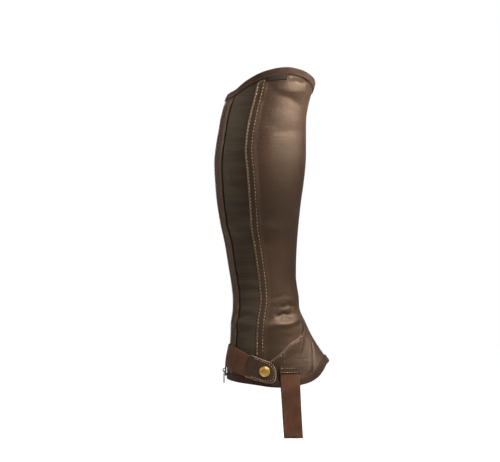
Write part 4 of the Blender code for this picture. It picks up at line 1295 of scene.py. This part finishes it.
def down_a_line(line, high, low, out):
    """A row down the leg along a line, between two heights."""
    heights = np.linspace(high, low, max(8, int((high - low) / 2)))
    angle = line(heights)
    return on_leg(angle, heights, out), outward(angle, heights)


def on_edge(edge, first, last, depth, out):
    """A row beside an edge, between two angles."""
    return off_edge(edge, np.linspace(first, last, max(8, int(abs(last - first)))), depth, out)


def sew(name, rows, pitch=STITCH_PITCH, scale=1.0, thread=tan_thread):
    """Puts stitches along each row, all in one mesh."""
    laid = [along_row(points, normals, pitch) for points, normals in rows]
    place, axes = (np.concatenate(parts) for parts in zip(*laid))
    made = repeat(name, stitch, place, axes * scale, thread)
    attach(made, "chap")


fold_rows = [
    down_a_line(beside(elastic_front, ROW_1), 111.0, -258.0, out=1.6),
    down_a_line(beside(elastic_front, ROW_2), 115.0, -254.0, out=1.55),
]
sew("stitches_fold", fold_rows)

strip_rows = [
    down_a_line(beside(strip_front, -2.2), 90.0, -278.0, out=1.6),
    down_a_line(from_zip(ZIP_HALF + 2.0), 86.0, -280.0, out=0.35),
    down_a_line(from_zip(-ZIP_HALF - 2.0), 86.0, -280.0, out=0.4),
]
sew("stitches_strip", strip_rows, scale=0.8, thread=brown_thread)

gusset_rows = [
    on_edge(instep_seam, 19.0, 104.0, GUSSET_ROW, out=0.75),
    on_edge(instep_seam, -19.0, -128.0, GUSSET_ROW, out=0.75),
]
sew("stitches_gussets", gusset_rows, pitch=4.0, scale=0.85)

tongue_row = beside(tongue_edge, -GUSSET_ROW)
tongue_rows = [down_a_line(line, -206.0, -283.0, out=0.75) for line in (tongue_row, mirrored(tongue_row))]
sew("stitches_tongue", tongue_rows, pitch=4.0, scale=0.85, thread=brown_thread)

head_rows = []
for forward in (28.6, 33.0):
    heights = np.linspace(-253.0, -268.0, 12)
    angle = angle_seen_at(np.full(12, forward), heights)
    out = np.interp(heights, (-264, -259), (0.15, 1.1))
    head_rows.append((on_leg(angle, heights, out), outward(angle, heights)))
sew("stitches_strap_head", head_rows, pitch=3.2, scale=0.7)

binding_rows = [
    on_edge(top, 168.0, -184.0, depth=6.4, out=1.5),
    on_edge(hem, 168.0, -168.0, depth=-6.4, out=1.5),
]
sew("stitches_bindings", binding_rows, pitch=3.4, scale=0.7, thread=brown_thread)

# Along the tab's upper side, round its end and back along its lower side.
inset = 1 - TAB_ROW / (TAB_WIDTH / 2)
over = np.sin(np.linspace(math.pi / 2, -math.pi / 2, 60)) * inset
front = tab_end(over * TAB_WIDTH / 2 / (TAB_WIDTH / 2 - TAB_ROW) * 0.995) - TAB_ROW
upper = np.stack([np.linspace(2.0, front[0], 20), np.full(20, over[0])], axis=-1)
border = np.concatenate([upper, np.stack([front, over], axis=-1), upper[::-1] * (1, -1)])
tab_row = on_tab(border[:, 0], border[:, 1] * TAB_WIDTH / 2, TAB_OUT - 0.1)
sew("stitches_tab", [tab_row], pitch=3.6, scale=0.8)

cap_rows = []
for side in (1, -1):
    for level_at in (-275.6, -281.4):
        height = np.full(20, level_at)
        angle = side * angle_seen_at(STIRRUP_HEAD_AT + np.linspace(-12.0, 12.0, 20), height)
        cap_rows.append((on_leg(angle, height, STIRRUP_OUT + 1.45), outward(angle, height)))
sew("stitches_stirrup", cap_rows, pitch=3.4, scale=0.95)

end_rows = []
for angle in (242.5, 245.5):
    place = strap_place(np.full(20, angle), np.linspace(12.5, -12.5, 20))
    end_rows.append((on_leg(*place, 1.95), outward(*place)))
sew("stitches_strap_end", end_rows, pitch=3.6, scale=0.8)


# ---- Camera, light and floor ----
# A nearly level view of the outer side through a long lens, in a pale studio. Narrow soft lights give the
# leather its highlights, and two broad ones fill the shade.

VIEW_WIDTH = 680.0
VIEW_MIDDLE = (-13.6, -89.8)
DISTANCE = 8.0  # in metres
SENSOR = 36.0
WARM_WHITE = (1.0, 0.91, 0.82)
SKY_LIGHT = 0.14  # the backdrop's share of its brightness that lights the chap
FLOOR_HALF, FLOOR_LEVEL, FLOOR_GLOW = 6000.0, -371.4, 0.9

camera = bpy.data.objects.new("camera", bpy.data.cameras.new("camera"))
bpy.context.scene.collection.objects.link(camera)
camera.location = (VIEW_MIDDLE[0] * MM, -DISTANCE, VIEW_MIDDLE[1] * MM)
camera.rotation_euler = (math.radians(90), 0, 0)
camera.data.sensor_width = SENSOR
camera.data.lens = SENSOR * DISTANCE / (VIEW_WIDTH * MM)
bpy.context.scene.camera = camera

world = bpy.data.worlds.new("studio")
bpy.context.scene.world = world
world.use_nodes = True
backdrop = world.node_tree.nodes["Background"]
backdrop.inputs["Color"].default_value = (1.0, 1.0, 1.0, 1.0)
seen = node(world, "LightPath")["Is Camera Ray"]
share = node(world, "MapRange", {"Value": seen, "To Min": SKY_LIGHT, "To Max": 1.0})["Result"]
world.node_tree.links.new(share, backdrop.inputs["Strength"])
bpy.context.scene.view_settings.view_transform = "Standard"

for name, place, aim, size, spread, watts in (
    ("softbox", (0.62, -0.18, 0.34), (0.05, 0.0, 0.145), 0.22, 20, 0.7),
    ("instep", (0.34, -0.33, 0.27), (0.05, -0.04, -0.23), 0.2, 24, 0.28),
    ("above", (1.42, -0.20, 1.06), (0.03, 0.0, -0.2), 0.4, 180, 11.5),
    ("left", (-1.35, -0.2, 0.5), (0.0, 0.0, 0.0), 0.8, 180, 9.0),
    ("calf", (-0.62, -0.24, 0.42), (-0.04, -0.02, 0.10), 0.2, 24, 0.12),
    ("behind", (0.3, 1.8, 0.8), (0.0, 0.0, -0.1), 1.4, 180, 6.0),
):
    light = bpy.data.objects.new(name, bpy.data.lights.new(name, "AREA"))
    bpy.context.scene.collection.objects.link(light)
    light.data.size, light.data.energy, light.data.spread = size, watts, math.radians(spread)
    light.data.color = WARM_WHITE
    light.location = place
    light.rotation_euler = (Vector(aim) - Vector(place)).to_track_quat("-Z", "Y").to_euler()

# White paper that glows only to the camera, so that it doesn't light the chap from below.
floor_look, floor_shader = finish("pale studio paper", {"Base Color": linear("#F4F3F1"), "Roughness": 0.9})
floor_shader.inputs["Emission Color"].default_value = (1.0, 1.0, 1.0, 1.0)
seen = node(floor_look, "LightPath")["Is Camera Ray"]
glow = node(floor_look, "MapRange", {"Value": seen, "To Max": FLOOR_GLOW})[0]
linked(floor_look, floor_shader, Emission_Strength=glow)
x, y = np.meshgrid([FLOOR_HALF, -FLOOR_HALF], [-FLOOR_HALF, FLOOR_HALF], indexing="ij")
floor = fill("floor", np.stack([x, y, np.full(x.shape, FLOOR_LEVEL)], axis=-1), [floor_look])
